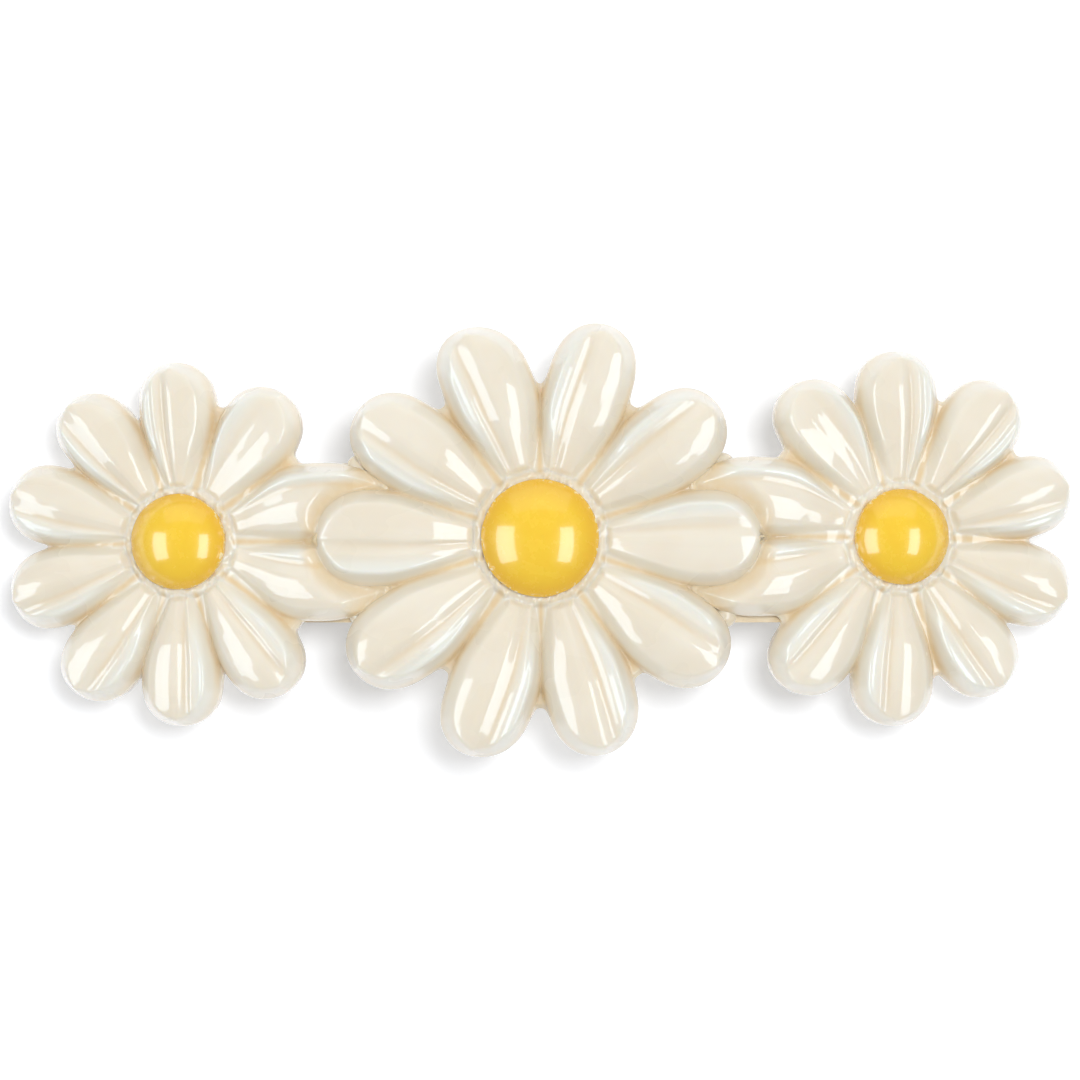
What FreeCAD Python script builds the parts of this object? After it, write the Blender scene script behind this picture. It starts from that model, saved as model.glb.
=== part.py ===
"""Daisy hair barrette: three overlapping moulded daisies on an arched backing bar, with a spring-steel
snap clasp (back plate, hinged arm, tension bar and two-legged catch) glued underneath.

Row frame: +X along the barrette, hinge end at -X and catch end at +X; +Y across it; +Z from the hair
side towards the flowers. The origin is on the surface the closed barrette stands on, under its middle.
Millimetres and degrees. Every size comes from the spreadsheet "dims".
"""

import math
import os
import re

import FreeCAD
import Part
import Sketcher

Vector = FreeCAD.Vector
Rotation = FreeCAD.Rotation
Placement = FreeCAD.Placement

DIMENSIONS = [
    # back plate: a strip bent to an arch about an axis along Y
    ("arch_radius", 150.0, "radius of the back plate's upper face"),
    ("arch_centre_z", -139.44, "height of the arch's centre"),
    ("plate_thick", 0.6, "sheet thickness of the back plate"),
    ("plate_width", 8.4, "width of the back plate"),
    ("plate_half_span", 35.0, "half the length of the back plate"),
    ("plate_corner", 1.0, "corner radius of the back plate"),
    ("glue_hole_x", 20.0, "distance of each glue hole from the middle"),
    ("glue_hole_radius", 1.0, "radius of the glue holes"),
    # hinge
    ("pin_x", 31.5, "distance of the hinge pin from the middle"),
    ("pin_z", 2.2, "height of the hinge pin"),
    ("pin_radius", 0.75, "radius of the hinge pin"),
    ("pin_head_radius", 1.15, "radius of the pin's peened heads"),
    ("pin_head_high", 0.35, "height of the pin's peened heads"),
    ("rivet_clearance", 0.02, "radial gap round a fixed pin or rivet"),
    ("hinge_clearance", 0.06, "radial gap round the pin in a turning part"),
    ("ear_half", 2.4, "half the length of a back plate ear"),
    ("ear_thick", 0.6, "thickness of a back plate ear"),
    ("ear_shoulder_z", 1.7, "height where an ear starts to round off"),
    ("foot_half", 1.2, "half the length of an ear's flat foot"),
    ("ear_flare", 1.2, "how much longer an ear is where it leaves the back plate"),
    ("ear_room_back", 0.6, "room between the ears, behind them"),
    ("ear_room_front", 2.0, "room between the ears, in front of them"),
    # clasp arm: a flatter arch than the back plate
    ("arm_radius", 300.0, "radius of the arm's upper face"),
    ("arm_crest_x", 4.42, "where the arm's arch is highest"),
    ("arm_centre_z", -297.0, "height of the centre of the arm's arch"),
    ("arm_thick", 0.6, "sheet thickness of the arm"),
    ("arm_tail_x", 32.6, "distance of the arm's tail from the middle"),
    ("arm_tip_x", 33.7, "distance of the arm's tip from the middle"),
    ("arm_tail_width", 6.9, "width of the arm at the hinge"),
    ("arm_waist_width", 5.0, "width of the arm between hinge and loop"),
    ("arm_loop_width", 8.0, "width of the loop at the arm's tip"),
    ("arm_tip_corner", 1.8, "corner radius of the arm's tip"),
    ("taper_tail_x", 27.5, "where the arm starts to narrow from its tail"),
    ("taper_waist_x", 22.5, "where it has its waist's width"),
    ("flare_waist_x", 21.5, "where the arm starts to widen towards its loop"),
    ("flare_loop_x", 25.5, "where it has its loop's width"),
    ("arm_ear_radius", 1.5, "radius of the arm's ears round the pin"),
    ("arm_ear_reach", 5.0, "how far the arm's ears run along the arm from the pin"),
    ("arm_ear_room", 7.0, "how far the room between them runs from the pin"),
    ("window_start_x", 26.9, "start of the window in the loop"),
    ("window_end_x", 31.7, "end of the window in the loop"),
    ("window_width", 5.2, "width of the window in the loop"),
    ("rib_width", 1.3, "width of the arm's stiffening rib"),
    ("rib_high", 0.35, "height of the arm's stiffening rib"),
    ("rib_half", 20.0, "half the length of the arm's stiffening rib"),
    ("rib_slope", 1.0, "length of the slope at each end of the rib"),
    # tension bar: a leaf spring with an eye round the hinge pin
    ("bar_radius", 134.0, "radius of the tension bar's middle surface"),
    ("bar_crest_x", 3.15, "where the tension bar's arch is highest"),
    ("bar_centre_z", -126.21, "height of the centre of the tension bar's arch"),
    ("bar_thick", 0.4, "sheet thickness of the tension bar"),
    ("bar_width", 4.6, "width of the tension bar"),
    ("bar_start_x", 31.76, "distance of the bar's eye end from the middle"),
    ("bar_end_x", 26.5, "distance of the bar's free end from the middle"),
    ("bar_corner", 1.4, "corner radius of the bar's free end"),
    ("eye_radius", 1.2, "outer radius of the bar's eye"),
    # catch: a riveted base with two spring legs that are squeezed together
    ("catch_x", 31.0, "distance of the catch's rivet from the middle"),
    ("catch_tilt", 12.0, "slope of the back plate at the catch"),
    ("catch_thick", 0.5, "sheet thickness of the catch"),
    ("base_start_x", 28.3, "start of the catch's base"),
    ("base_end_x", 33.6, "end of the catch's base"),
    ("leg_axis_y", 1.9, "distance of each leg's bend line from the middle"),
    ("leg_axis_depth", 0.4, "depth of the bend lines under the back plate"),
    ("leg_gap", 0.3, "distance from the bend line to the base's edge"),
    ("hook_back", 2.2, "length of the leg behind the rivet"),
    ("hook_front", 1.2, "length of the leg's hook ahead of the rivet"),
    ("bend_front", 2.2, "how much further than the hook the leg's bend runs"),
    ("tab_front", 5.4, "length of the finger tab ahead of the rivet"),
    ("tab_drop", 1.2, "depth of the tab's upper corner under the bend line"),
    ("tab_low_z", 1.9, "lowest point of the finger tab"),
    ("tab_lip", 1.5, "reach of the finger tab's outward lip"),
    ("tab_lip_thick", 0.5, "thickness of the finger tab's lip"),
    ("tab_lip_depth", 1.6, "depth of the lip's top under the bend line"),
    ("tab_lip_low", 0.3, "height of the lip's bottom above the tab's"),
    ("barb_top_z", 1.2, "height of the barb's catching edge"),
    ("barb_low_z", 0.35, "height of the barb's lower edge"),
    ("barb_reach", 0.65, "reach of the barb from the leg's middle"),
    ("rivet_radius", 0.8, "radius of the catch's rivet"),
    ("rivet_head_radius", 1.25, "radius of the rivet's heads"),
    ("rivet_head_high", 0.3, "height of the rivet's heads"),
    # adhesive and backing bar
    ("glue_thick", 0.35, "thickness of the adhesive bed"),
    ("glue_half_span", 27.0, "half the length of the adhesive bed"),
    ("glue_width", 7.6, "width of the adhesive bed"),
    ("glue_plug_low_z", 8.35, "lowest point of a glue plug"),
    ("glue_plug_high", 1.05, "height of a glue plug"),
    ("backing_width", 12.9, "width of the backing bar"),
    ("backing_shift_y", -0.4, "how far the backing bar sits off the middle line"),
    ("backing_half_span", 33.0, "half the length of the backing bar"),
    ("backing_corner", 4.0, "corner radius of the backing bar"),
    # daisies
    ("petal_count", 10, "petals on each daisy"),
    ("centre_base_z", 12.31, "height of the centre daisy's flat back"),
    ("side_base_z", 9.52, "height of a side daisy's flat back at its middle"),
    ("side_x", 28.9, "distance of the side daisies from the middle"),
    ("side_tilt", 11.1, "slope of the side daisies"),
    ("left_shift_y", -0.3, "how far the left daisy sits off the middle line"),
    ("right_shift_y", 0.1, "how far the right daisy sits off the middle line"),
    ("centre_tip_radius", 18.1, "reach of the centre daisy's petals"),
    ("centre_petal_half", 3.75, "half the width of a centre daisy petal"),
    ("centre_edge_high", 1.9, "height of a centre daisy petal's edge"),
    ("centre_crest_high", 3.9, "height of a centre daisy petal's crest"),
    ("centre_web_radius", 12.8, "radius of the web between its petals"),
    ("centre_web_high", 1.6, "height of the web between its petals"),
    ("centre_dome_radius", 4.7, "radius of the centre daisy's dome"),
    ("centre_dome_base", 2.9, "height where the centre dome starts to round"),
    ("centre_dome_top", 5.6, "height of the centre dome's top"),
    ("side_tip_radius", 14.8, "reach of a side daisy's petals"),
    ("side_petal_half", 3.2, "half the width of a side daisy petal"),
    ("side_edge_high", 1.6, "height of a side daisy petal's edge"),
    ("side_crest_high", 3.3, "height of a side daisy petal's crest"),
    ("side_web_radius", 10.7, "radius of the web between its petals"),
    ("side_web_high", 1.4, "height of the web between its petals"),
    ("side_dome_radius", 3.85, "radius of a side daisy's dome"),
    ("side_dome_base", 2.4, "height where a side dome starts to round"),
    ("side_dome_top", 4.6, "height of a side dome's top"),
    ("collar_wall", 0.7, "wall of the collar round a dome"),
    ("socket_floor", 1.0, "floor of the socket that holds a dome"),
    ("nest_gap", 0.02, "gap between the centre daisy and the side ones"),
    ("nest_depth", 3.0, "room taken from the side daisies under the centre one's back"),
    ("nest_high", 9.0, "and over it"),
]

# A petal's sections from root to tip, each as shares of its reach, half width, edge and crest heights.
PETAL_SECTIONS = [
    (0.25, 0.42, 1.00, 0.62),
    (0.42, 0.68, 1.00, 0.86),
    (0.60, 0.91, 1.00, 1.00),
    (0.76, 1.00, 1.00, 1.00),
    (0.89, 0.84, 1.00, 0.90),
    (0.965, 0.50, 0.95, 0.72),
    (0.995, 0.15, 0.80, 0.50),
]

SHEET_NAME = "dims"
PARTS_FOLDER = "parts"
INSIDE = 0.3  # how far a joined feature reaches into the metal it joins
BITE = 0.1  # how far a small lug reaches into the leg it grows from
CLEAR = 10.0  # how far a cut reaches past the metal it cuts
NEAR = 0.01  # how close to a face an edge's middle has to be to lie on it

doc = FreeCAD.newDocument("daisy_barrette")
nodes = {}


# ---------------------------------------------------------------- spreadsheet and expressions


def make_sheet():
    sheet = doc.addObject("Spreadsheet::Sheet", SHEET_NAME)
    for row, (alias, value, note) in enumerate(DIMENSIONS, start=1):
        sheet.set(f"A{row}", alias)
        sheet.set(f"B{row}", str(value))
        sheet.set(f"C{row}", note)
        sheet.setAlias(f"B{row}", alias)
    doc.recompute()
    return sheet


sheet = make_sheet()


def bound(text):
    """An expression with each alias, which always holds an underscore, read from the sheet."""
    return re.sub(r"[a-z]+(?:_[a-z]+)+", lambda m: f"{SHEET_NAME}.{m.group()}", str(text))


def value(text):
    """The number that an expression gives."""
    found = sheet.evalExpression(bound(text))
    return float(getattr(found, "Value", found))


def arch_z(radius, x):
    """Height, at x, of a surface of that radius about the back plate's arch centre."""
    return f"(arch_centre_z + sqrt(({radius})^2 - ({x})^2))"


def arm_z(x, lower=0):
    return f"(arm_centre_z + sqrt(arm_radius^2 - ({x} - arm_crest_x)^2) - {lower})"


def bar_z(x, offset):
    return f"(bar_centre_z + sqrt((bar_radius + {offset})^2 - ({x} - bar_crest_x)^2))"


# ---------------------------------------------------------------- sketches


def origin_feature(body, role):
    return next(f for f in body.Origin.OriginFeatures if f.Role == role)


def new_body(name):
    body = doc.addObject("PartDesign::Body", name)
    body.Label = name
    return body


def new_sketch(body, plane, name, offset=None):
    sketch = body.newObject("Sketcher::SketchObject", name)
    sketch.AttachmentSupport = (origin_feature(body, plane), [""])
    sketch.MapMode = "FlatFace"
    if offset is not None:
        sketch.setExpression("AttachmentOffset.Base.z", bound(offset))
    return sketch


def pin_point(sketch, geometry, end, x, y):
    """Holds one point of a sketch at (x, y), both bound to the sheet."""
    for kind, text in (("DistanceX", x), ("DistanceY", y)):
        index = sketch.addConstraint(Sketcher.Constraint(kind, -1, 1, geometry, end, value(text)))
        sketch.setExpression(f"Constraints[{index}]", bound(text))


def arc_through(start, end, radius, bulge):
    """The minor arc between two points, bulging to the left (+1) or the right (-1) of the way from
    start to end, and which of its ends is the start."""
    chord = end - start
    left = Vector(-chord.y, chord.x, 0).normalize()
    drop = math.sqrt(max(radius**2 - (chord.Length / 2) ** 2, 0))
    centre = (start + end) * 0.5 - left * (bulge * drop)
    first, second = (end, start) if bulge > 0 else (start, end)
    low = math.atan2(first.y - centre.y, first.x - centre.x)
    high = math.atan2(second.y - centre.y, second.x - centre.x)
    if high < low:
        high += 2 * math.pi
    circle = Part.Circle(centre, Vector(0, 0, 1), radius)
    return Part.ArcOfCircle(circle, low, high), (2 if bulge > 0 else 1)


def outline(sketch, points, arcs=None):
    """A closed outline through points, each a pair of expressions. arcs gives, for the edge that
    starts at a point's index, its radius and the side it bulges to; the other edges are straight."""
    arcs = arcs or {}
    places = [Vector(value(x), value(y), 0) for x, y in points]
    ends = []
    for i, start in enumerate(places):
        end = places[(i + 1) % len(places)]
        if i in arcs:
            radius, bulge = arcs[i]
            curve, first = arc_through(start, end, value(radius), bulge)
            edge = sketch.addGeometry(curve, False)
            index = sketch.addConstraint(Sketcher.Constraint("Radius", edge, value(radius)))
            sketch.setExpression(f"Constraints[{index}]", bound(radius))
        else:
            edge = sketch.addGeometry(Part.LineSegment(start, end), False)
            first = 1
        ends.append((edge, first, 3 - first))
    for i, (edge, first, _last) in enumerate(ends):
        before = ends[i - 1]
        sketch.addConstraint(Sketcher.Constraint("Coincident", before[0], before[2], edge, first))
        pin_point(sketch, edge, first, *points[i])


def circle(sketch, x, y, radius):
    place = Vector(value(x), value(y), 0)
    ring = sketch.addGeometry(Part.Circle(place, Vector(0, 0, 1), value(radius)), False)
    index = sketch.addConstraint(Sketcher.Constraint("Radius", ring, value(radius)))
    sketch.setExpression(f"Constraints[{index}]", bound(radius))
    pin_point(sketch, ring, 3, x, y)


# ---------------------------------------------------------------- features


def pad(body, sketch, length, both_ways=True, reverse=False):
    """Adds a sketch pulled to that length, half each way unless both_ways is False."""
    feature = body.newObject("PartDesign::Pad", sketch.Name + "_pad")
    feature.Profile = sketch
    feature.Midplane = both_ways
    feature.Reversed = reverse
    feature.setExpression("Length", bound(length))
    doc.recompute()
    return feature


def pocket(body, sketch, length):
    """Cuts a sketch through, half of length each way, and checks that metal went."""
    before = body.Shape.Volume
    feature = body.newObject("PartDesign::Pocket", sketch.Name + "_pocket")
    feature.Profile = sketch
    feature.Midplane = True
    feature.setExpression("Length", bound(length))
    doc.recompute()
    if body.Shape.Volume >= before:
        raise RuntimeError(f"{feature.Name} cut nothing")
    return feature


def revolve(body, sketch, axis):
    feature = body.newObject("PartDesign::Revolution", sketch.Name + "_turned")
    feature.Profile = sketch
    feature.ReferenceAxis = (origin_feature(body, axis), [""])
    feature.Angle = 360
    doc.recompute()
    return feature


def fillet(body, radius, wanted):
    """Rounds the edges whose middle point passes the test wanted."""
    names = []
    for number, edge in enumerate(body.Shape.Edges, start=1):
        if wanted(edge.valueAt((edge.FirstParameter + edge.LastParameter) / 2), edge):
            names.append(f"Edge{number}")
    if not names:
        raise RuntimeError(f"{body.Name} has no edge to fillet")
    base = body.Tip
    feature = body.newObject("PartDesign::Fillet", body.Name + "_fillet")
    feature.Base = (base, names)
    feature.setExpression("Radius", bound(radius))
    doc.recompute()
    return feature


def is_upright(edge):
    """Whether an edge runs more along Z than along X or Y."""
    across = edge.valueAt(edge.LastParameter) - edge.valueAt(edge.FirstParameter)
    return abs(across.z) > max(abs(across.x), abs(across.y))


# ---------------------------------------------------------------- clasp: sheet-metal pieces


def band(body, name, high, low, start, end, width):
    """A strip bent about the arch centre, between two radii, from x = start to x = end."""
    sketch = new_sketch(body, "XZ_Plane", name)
    points = [
        (start, arch_z(high, start)),
        (end, arch_z(high, end)),
        (end, arch_z(low, end)),
        (start, arch_z(low, start)),
    ]
    outline(sketch, points, {0: (high, 1), 2: (low, -1)})
    pad(body, sketch, width)


def make_back_plate():
    """Arched strip with two glue holes, a rivet hole and, at the hinge end, two folded-down ears
    whose flat feet stand on the table."""
    body = new_body("back_plate")
    under = "arch_radius - plate_thick"
    band(body, "plate_strip", "arch_radius", under, "-plate_half_span", "plate_half_span", "plate_width")
    ends = value("plate_half_span") - NEAR
    fillet(body, "plate_corner", lambda p, edge: abs(p.x) > ends and is_upright(edge))

    back, front = "-(pin_x + ear_half)", "-(pin_x - ear_half)"
    flared = "-(pin_x - ear_half - ear_flare)"
    ear = new_sketch(body, "XZ_Plane", "plate_ear")
    outline(
        ear,
        [
            (back, arch_z(f"{under} + {INSIDE}", back)),
            (back, "ear_shoulder_z"),
            ("-(pin_x + foot_half)", "0"),
            ("-(pin_x - foot_half)", "0"),
            (front, "ear_shoulder_z"),
            (flared, arch_z(f"{under} + {INSIDE}", flared)),
        ],
        {1: ("ear_half", -1), 3: ("ear_half", -1)},
    )
    pad(body, ear, "plate_width")

    gap_start = "-(pin_x + ear_half + ear_room_back)"
    gap_end = "-(pin_x - ear_half - ear_room_front)"
    gap = new_sketch(body, "XZ_Plane", "plate_ear_gap")
    outline(
        gap,
        [
            (gap_start, arch_z(under, gap_start)),
            (gap_end, arch_z(under, gap_end)),
            (gap_end, f"-{CLEAR}"),
            (gap_start, f"-{CLEAR}"),
        ],
        {0: (under, 1)},
    )
    pocket(body, gap, "plate_width - 2 * ear_thick")

    pin_hole = new_sketch(body, "XZ_Plane", "plate_pin_hole")
    circle(pin_hole, "-pin_x", "pin_z", "pin_radius + rivet_clearance")
    pocket(body, pin_hole, f"plate_width + {CLEAR}")

    holes = new_sketch(body, "XY_Plane", "plate_glue_holes")
    circle(holes, "-glue_hole_x", "0", "glue_hole_radius")
    circle(holes, "glue_hole_x", "0", "glue_hole_radius")
    pocket(body, holes, f"{4 * CLEAR}")
    cut_rivet_hole(body, "plate_rivet_hole")
    nodes["back_plate"] = body


def cut_rivet_hole(body, name):
    """A hole square to the arch at the catch's rivet."""
    sketch = new_sketch(body, "XY_Plane", name)
    place_on_arch(sketch, "AttachmentOffset", "arch_radius - plate_thick")
    circle(sketch, "0", "0", "rivet_radius + rivet_clearance")
    pocket(body, sketch, f"{CLEAR}")


def place_on_arch(item, placement, radius):
    """Puts a placement on the arch at the catch, with its own Z along the arch's radius."""
    setattr(item, placement, Placement(Vector(), Rotation(Vector(0, 1, 0), value("catch_tilt"))))
    item.setExpression(f"{placement}.Rotation.Angle", bound("catch_tilt * 1 deg"))
    item.setExpression(f"{placement}.Base.x", bound("catch_x"))
    item.setExpression(f"{placement}.Base.z", bound(arch_z(radius, "catch_x")))
    doc.recompute()


def make_hinge_pin():
    """Wire pin with a peened dome at each end, outside the back plate's ears."""
    body = new_body("hinge_pin")
    sketch = new_sketch(body, "YZ_Plane", "pin_profile")
    half = "plate_width / 2"
    dome = "(pin_head_radius^2 + pin_head_high^2) / (2 * pin_head_high)"
    outline(
        sketch,
        [
            (f"-({half} + pin_head_high)", "0"),
            (f"-({half})", "pin_head_radius"),
            (f"-({half})", "pin_radius"),
            (half, "pin_radius"),
            (half, "pin_head_radius"),
            (f"{half} + pin_head_high", "0"),
        ],
        {0: (dome, 1), 4: (dome, 1)},
    )
    revolve(body, sketch, "Y_Axis")
    body.setExpression("Placement.Base.x", bound("-pin_x"))
    body.setExpression("Placement.Base.z", bound("pin_z"))
    nodes["hinge_pin"] = body


def make_clasp_arm():
    """Arched arm: ears round the hinge pin at its tail, a stiffening rib under its waist, and a loop
    with a window at its tip that drops over the catch's legs."""
    body = new_body("clasp_arm")
    tail, tip = "-arm_tail_x", "arm_tip_x"
    strip = new_sketch(body, "XZ_Plane", "arm_strip")
    outline(
        strip,
        [
            (tail, arm_z(tail)),
            (tip, arm_z(tip)),
            (tip, arm_z(tip, "arm_thick")),
            (tail, arm_z(tail, "arm_thick")),
        ],
        {0: ("arm_radius", 1), 2: ("arm_radius", -1)},
    )
    pad(body, strip, "arm_loop_width")

    trim = new_sketch(body, "XY_Plane", "arm_trim")
    arm_plan(trim)
    pocket(body, trim, f"{4 * CLEAR}")
    cut_window(body)
    add_rib(body)
    add_arm_ears(body)
    nodes["clasp_arm"] = body


def arm_plan(sketch):
    """A frame to cut away: a rectangle outside and the arm's outline inside it."""
    far, wide = f"(arm_tip_x + {CLEAR})", f"(arm_loop_width + {CLEAR})"
    outline(sketch, [(f"-{far}", f"-{wide}"), (far, f"-{wide}"), (far, wide), (f"-{far}", wide)])
    half = [
        ("-arm_tail_x", "arm_tail_width / 2"),
        ("-taper_tail_x", "arm_tail_width / 2"),
        ("-taper_waist_x", "arm_waist_width / 2"),
        ("flare_waist_x", "arm_waist_width / 2"),
        ("flare_loop_x", "arm_loop_width / 2"),
        ("arm_tip_x - arm_tip_corner", "arm_loop_width / 2"),
        ("arm_tip_x", "arm_loop_width / 2 - arm_tip_corner"),
    ]
    other = [(x, f"-({y})") for x, y in reversed(half)]
    outline(sketch, half + other, {5: ("arm_tip_corner", 1), 7: ("arm_tip_corner", 1)})


def cut_window(body):
    window = new_sketch(body, "XY_Plane", "arm_window")
    half = "window_width / 2"
    outline(
        window,
        [
            ("window_start_x", f"-({half})"),
            ("window_end_x", f"-({half})"),
            ("window_end_x", half),
            ("window_start_x", half),
        ],
    )
    pocket(body, window, f"{4 * CLEAR}")


def add_rib(body):
    rib = new_sketch(body, "XZ_Plane", "arm_rib")
    low = "arm_thick + rib_high"
    crest = "(rib_half - rib_slope)"
    outline(
        rib,
        [
            ("-rib_half", arm_z("-rib_half", f"arm_thick - {INSIDE}")),
            ("rib_half", arm_z("rib_half", f"arm_thick - {INSIDE}")),
            (crest, arm_z(crest, low)),
            (f"-{crest}", arm_z(f"-{crest}", low)),
        ],
        {0: ("arm_radius", 1), 2: ("arm_radius", -1)},
    )
    pad(body, rib, "rib_width")


def add_arm_ears(body):
    ear = new_sketch(body, "XZ_Plane", "arm_ear")
    back, front = "-(pin_x + arm_ear_radius)", "-(pin_x - arm_ear_radius)"
    reach = "-(pin_x - arm_ear_reach)"
    outline(
        ear,
        [
            ("-arm_tail_x", arm_z("-arm_tail_x", "arm_thick / 2")),
            (back, "pin_z"),
            ("-pin_x", "pin_z + arm_ear_radius"),
            (front, "pin_z"),
            (reach, arm_z(reach, "arm_thick / 2")),
        ],
        {1: ("arm_ear_radius", 1), 2: ("arm_ear_radius", 1)},
    )
    pad(body, ear, "arm_tail_width")

    gap = new_sketch(body, "XZ_Plane", "arm_ear_gap")
    start, end, high = f"-(arm_tail_x + {CLEAR})", "-(pin_x - arm_ear_room)", f"pin_z + {CLEAR}"
    outline(
        gap,
        [(start, arm_z(start)), (start, high), (end, high), (end, arm_z(end))],
        {3: ("arm_radius", -1)},
    )
    pocket(body, gap, "arm_tail_width - 2 * ear_thick")

    pin_hole = new_sketch(body, "XZ_Plane", "arm_pin_hole")
    circle(pin_hole, "-pin_x", "pin_z", "pin_radius + hinge_clearance")
    pocket(body, pin_hole, f"arm_tail_width + {CLEAR}")


def make_tension_bar():
    """Leaf spring: an eye round the hinge pin, and a bowed strip whose far end is free."""
    body = new_body("tension_bar")
    strip = new_sketch(body, "XZ_Plane", "bar_strip")
    start, end = "-bar_start_x", "bar_end_x"
    half = "bar_thick / 2"
    outline(
        strip,
        [
            (start, bar_z(start, half)),
            (end, bar_z(end, half)),
            (end, bar_z(end, f"-{half}")),
            (start, bar_z(start, f"-{half}")),
        ],
        {0: (f"bar_radius + {half}", 1), 2: (f"bar_radius - {half}", -1)},
    )
    pad(body, strip, "bar_width")
    tip = value("bar_end_x") - NEAR
    fillet(body, "bar_corner", lambda p, edge: p.x > tip and is_upright(edge))

    eye = new_sketch(body, "XZ_Plane", "bar_eye")
    circle(eye, "-pin_x", "pin_z", "eye_radius")
    pad(body, eye, "bar_width")
    bore = new_sketch(body, "XZ_Plane", "bar_eye_bore")
    circle(bore, "-pin_x", "pin_z", "pin_radius + hinge_clearance")
    pocket(body, bore, f"bar_width + {CLEAR}")
    nodes["tension_bar"] = body


def make_catch_base():
    """The riveted middle of the catch, lying along the back plate's underside."""
    body = new_body("catch_base")
    high = "arch_radius - plate_thick"
    width = "2 * (leg_axis_y - leg_gap)"
    band(body, "catch_strip", high, f"{high} - catch_thick", "base_start_x", "base_end_x", width)
    cut_rivet_hole(body, "catch_rivet_hole")
    nodes["catch_base"] = body


def make_catch_leg(name, side):
    """One spring leg of the catch, on the +Y (side 1) or -Y (side -1) edge of the base. Its own X
    runs along the bend line and its own Z up the arch's radius. The hook goes down through the
    arm's window to a flat foot; the finger tab reaches past the back plate's end."""
    body = new_body(name)
    depth_radius = "arch_radius - plate_thick - leg_axis_depth"
    place_on_arch(body, "Placement", depth_radius)
    body.setExpression("Placement.Base.y", bound(f"{side} * leg_axis_y"))

    def under(along, z):
        """Depth below the bend line at which the leg reaches height z."""
        origin = arch_z(depth_radius, "catch_x")
        return f"-(({origin}) - ({z}) - ({along}) * sin(catch_tilt * 1 deg)) / cos(catch_tilt * 1 deg)"

    plate = new_sketch(body, "XZ_Plane", f"{name}_plate")
    outline(
        plate,
        [
            ("-hook_back", "0"),
            ("hook_front + bend_front", "0"),
            ("tab_front", "-tab_drop"),
            ("tab_front", under("tab_front", "tab_low_z")),
            ("hook_front", under("hook_front", "tab_low_z")),
            ("hook_front", under("hook_front", "0")),
            ("-hook_back", under("-hook_back", "0")),
        ],
    )
    pad(body, plate, "catch_thick")

    bend = new_sketch(body, "YZ_Plane", f"{name}_bend", "-hook_back")
    circle(bend, "0", "0", "catch_thick / 2")
    pad(body, bend, "hook_back + hook_front + bend_front", both_ways=False)

    barb = new_sketch(body, "XZ_Plane", f"{name}_barb", f"-{side} * (catch_thick / 2 - {BITE})")
    outline(
        barb,
        [
            ("-hook_back", under("-hook_back", "barb_top_z")),
            ("hook_front", under("hook_front", "barb_top_z")),
            ("hook_front", under("hook_front", "barb_low_z")),
            ("-hook_back", under("-hook_back", "barb_low_z")),
        ],
    )
    pad(body, barb, f"barb_reach - catch_thick / 2 + {BITE}", both_ways=False, reverse=side > 0)

    inner = "tab_front - tab_lip_thick"
    lip = new_sketch(body, "XZ_Plane", f"{name}_lip", f"-{side} * (catch_thick / 2 - {BITE})")
    outline(
        lip,
        [
            (inner, "-tab_lip_depth"),
            ("tab_front", "-tab_lip_depth"),
            ("tab_front", under("tab_front", "tab_low_z + tab_lip_low")),
            (inner, under(inner, "tab_low_z + tab_lip_low")),
        ],
    )
    pad(body, lip, f"tab_lip - catch_thick / 2 + {BITE}", both_ways=False, reverse=side > 0)
    nodes[name] = body


def make_catch_rivet():
    """Rivet through the back plate and the catch's base, domed at both ends."""
    body = new_body("catch_rivet")
    sketch = new_sketch(body, "XZ_Plane", "rivet_profile")
    dome = "(rivet_head_radius^2 + rivet_head_high^2) / (2 * rivet_head_high)"
    outline(
        sketch,
        [
            ("0", "-(catch_thick + rivet_head_high)"),
            ("rivet_head_radius", "-catch_thick"),
            ("rivet_radius", "-catch_thick"),
            ("rivet_radius", "plate_thick"),
            ("rivet_head_radius", "plate_thick"),
            ("0", "plate_thick + rivet_head_high"),
        ],
        {0: (dome, -1), 4: (dome, -1)},
    )
    revolve(body, sketch, "Z_Axis")
    place_on_arch(body, "Placement", "arch_radius - plate_thick")
    nodes["catch_rivet"] = body


# ---------------------------------------------------------------- adhesive and backing bar


def make_adhesive_bed():
    """Thin bed of adhesive on the back plate, with a plug down through each glue hole."""
    body = new_body("adhesive_bed")
    high = "arch_radius + glue_thick"
    band(body, "glue_band", high, "arch_radius", "-glue_half_span", "glue_half_span", "glue_width")
    plugs = new_sketch(body, "XY_Plane", "glue_plugs", "glue_plug_low_z")
    circle(plugs, "-glue_hole_x", "0", "glue_hole_radius - rivet_clearance")
    circle(plugs, "glue_hole_x", "0", "glue_hole_radius - rivet_clearance")
    pad(body, plugs, "glue_plug_high", both_ways=False)
    nodes["adhesive_bed"] = body


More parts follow.
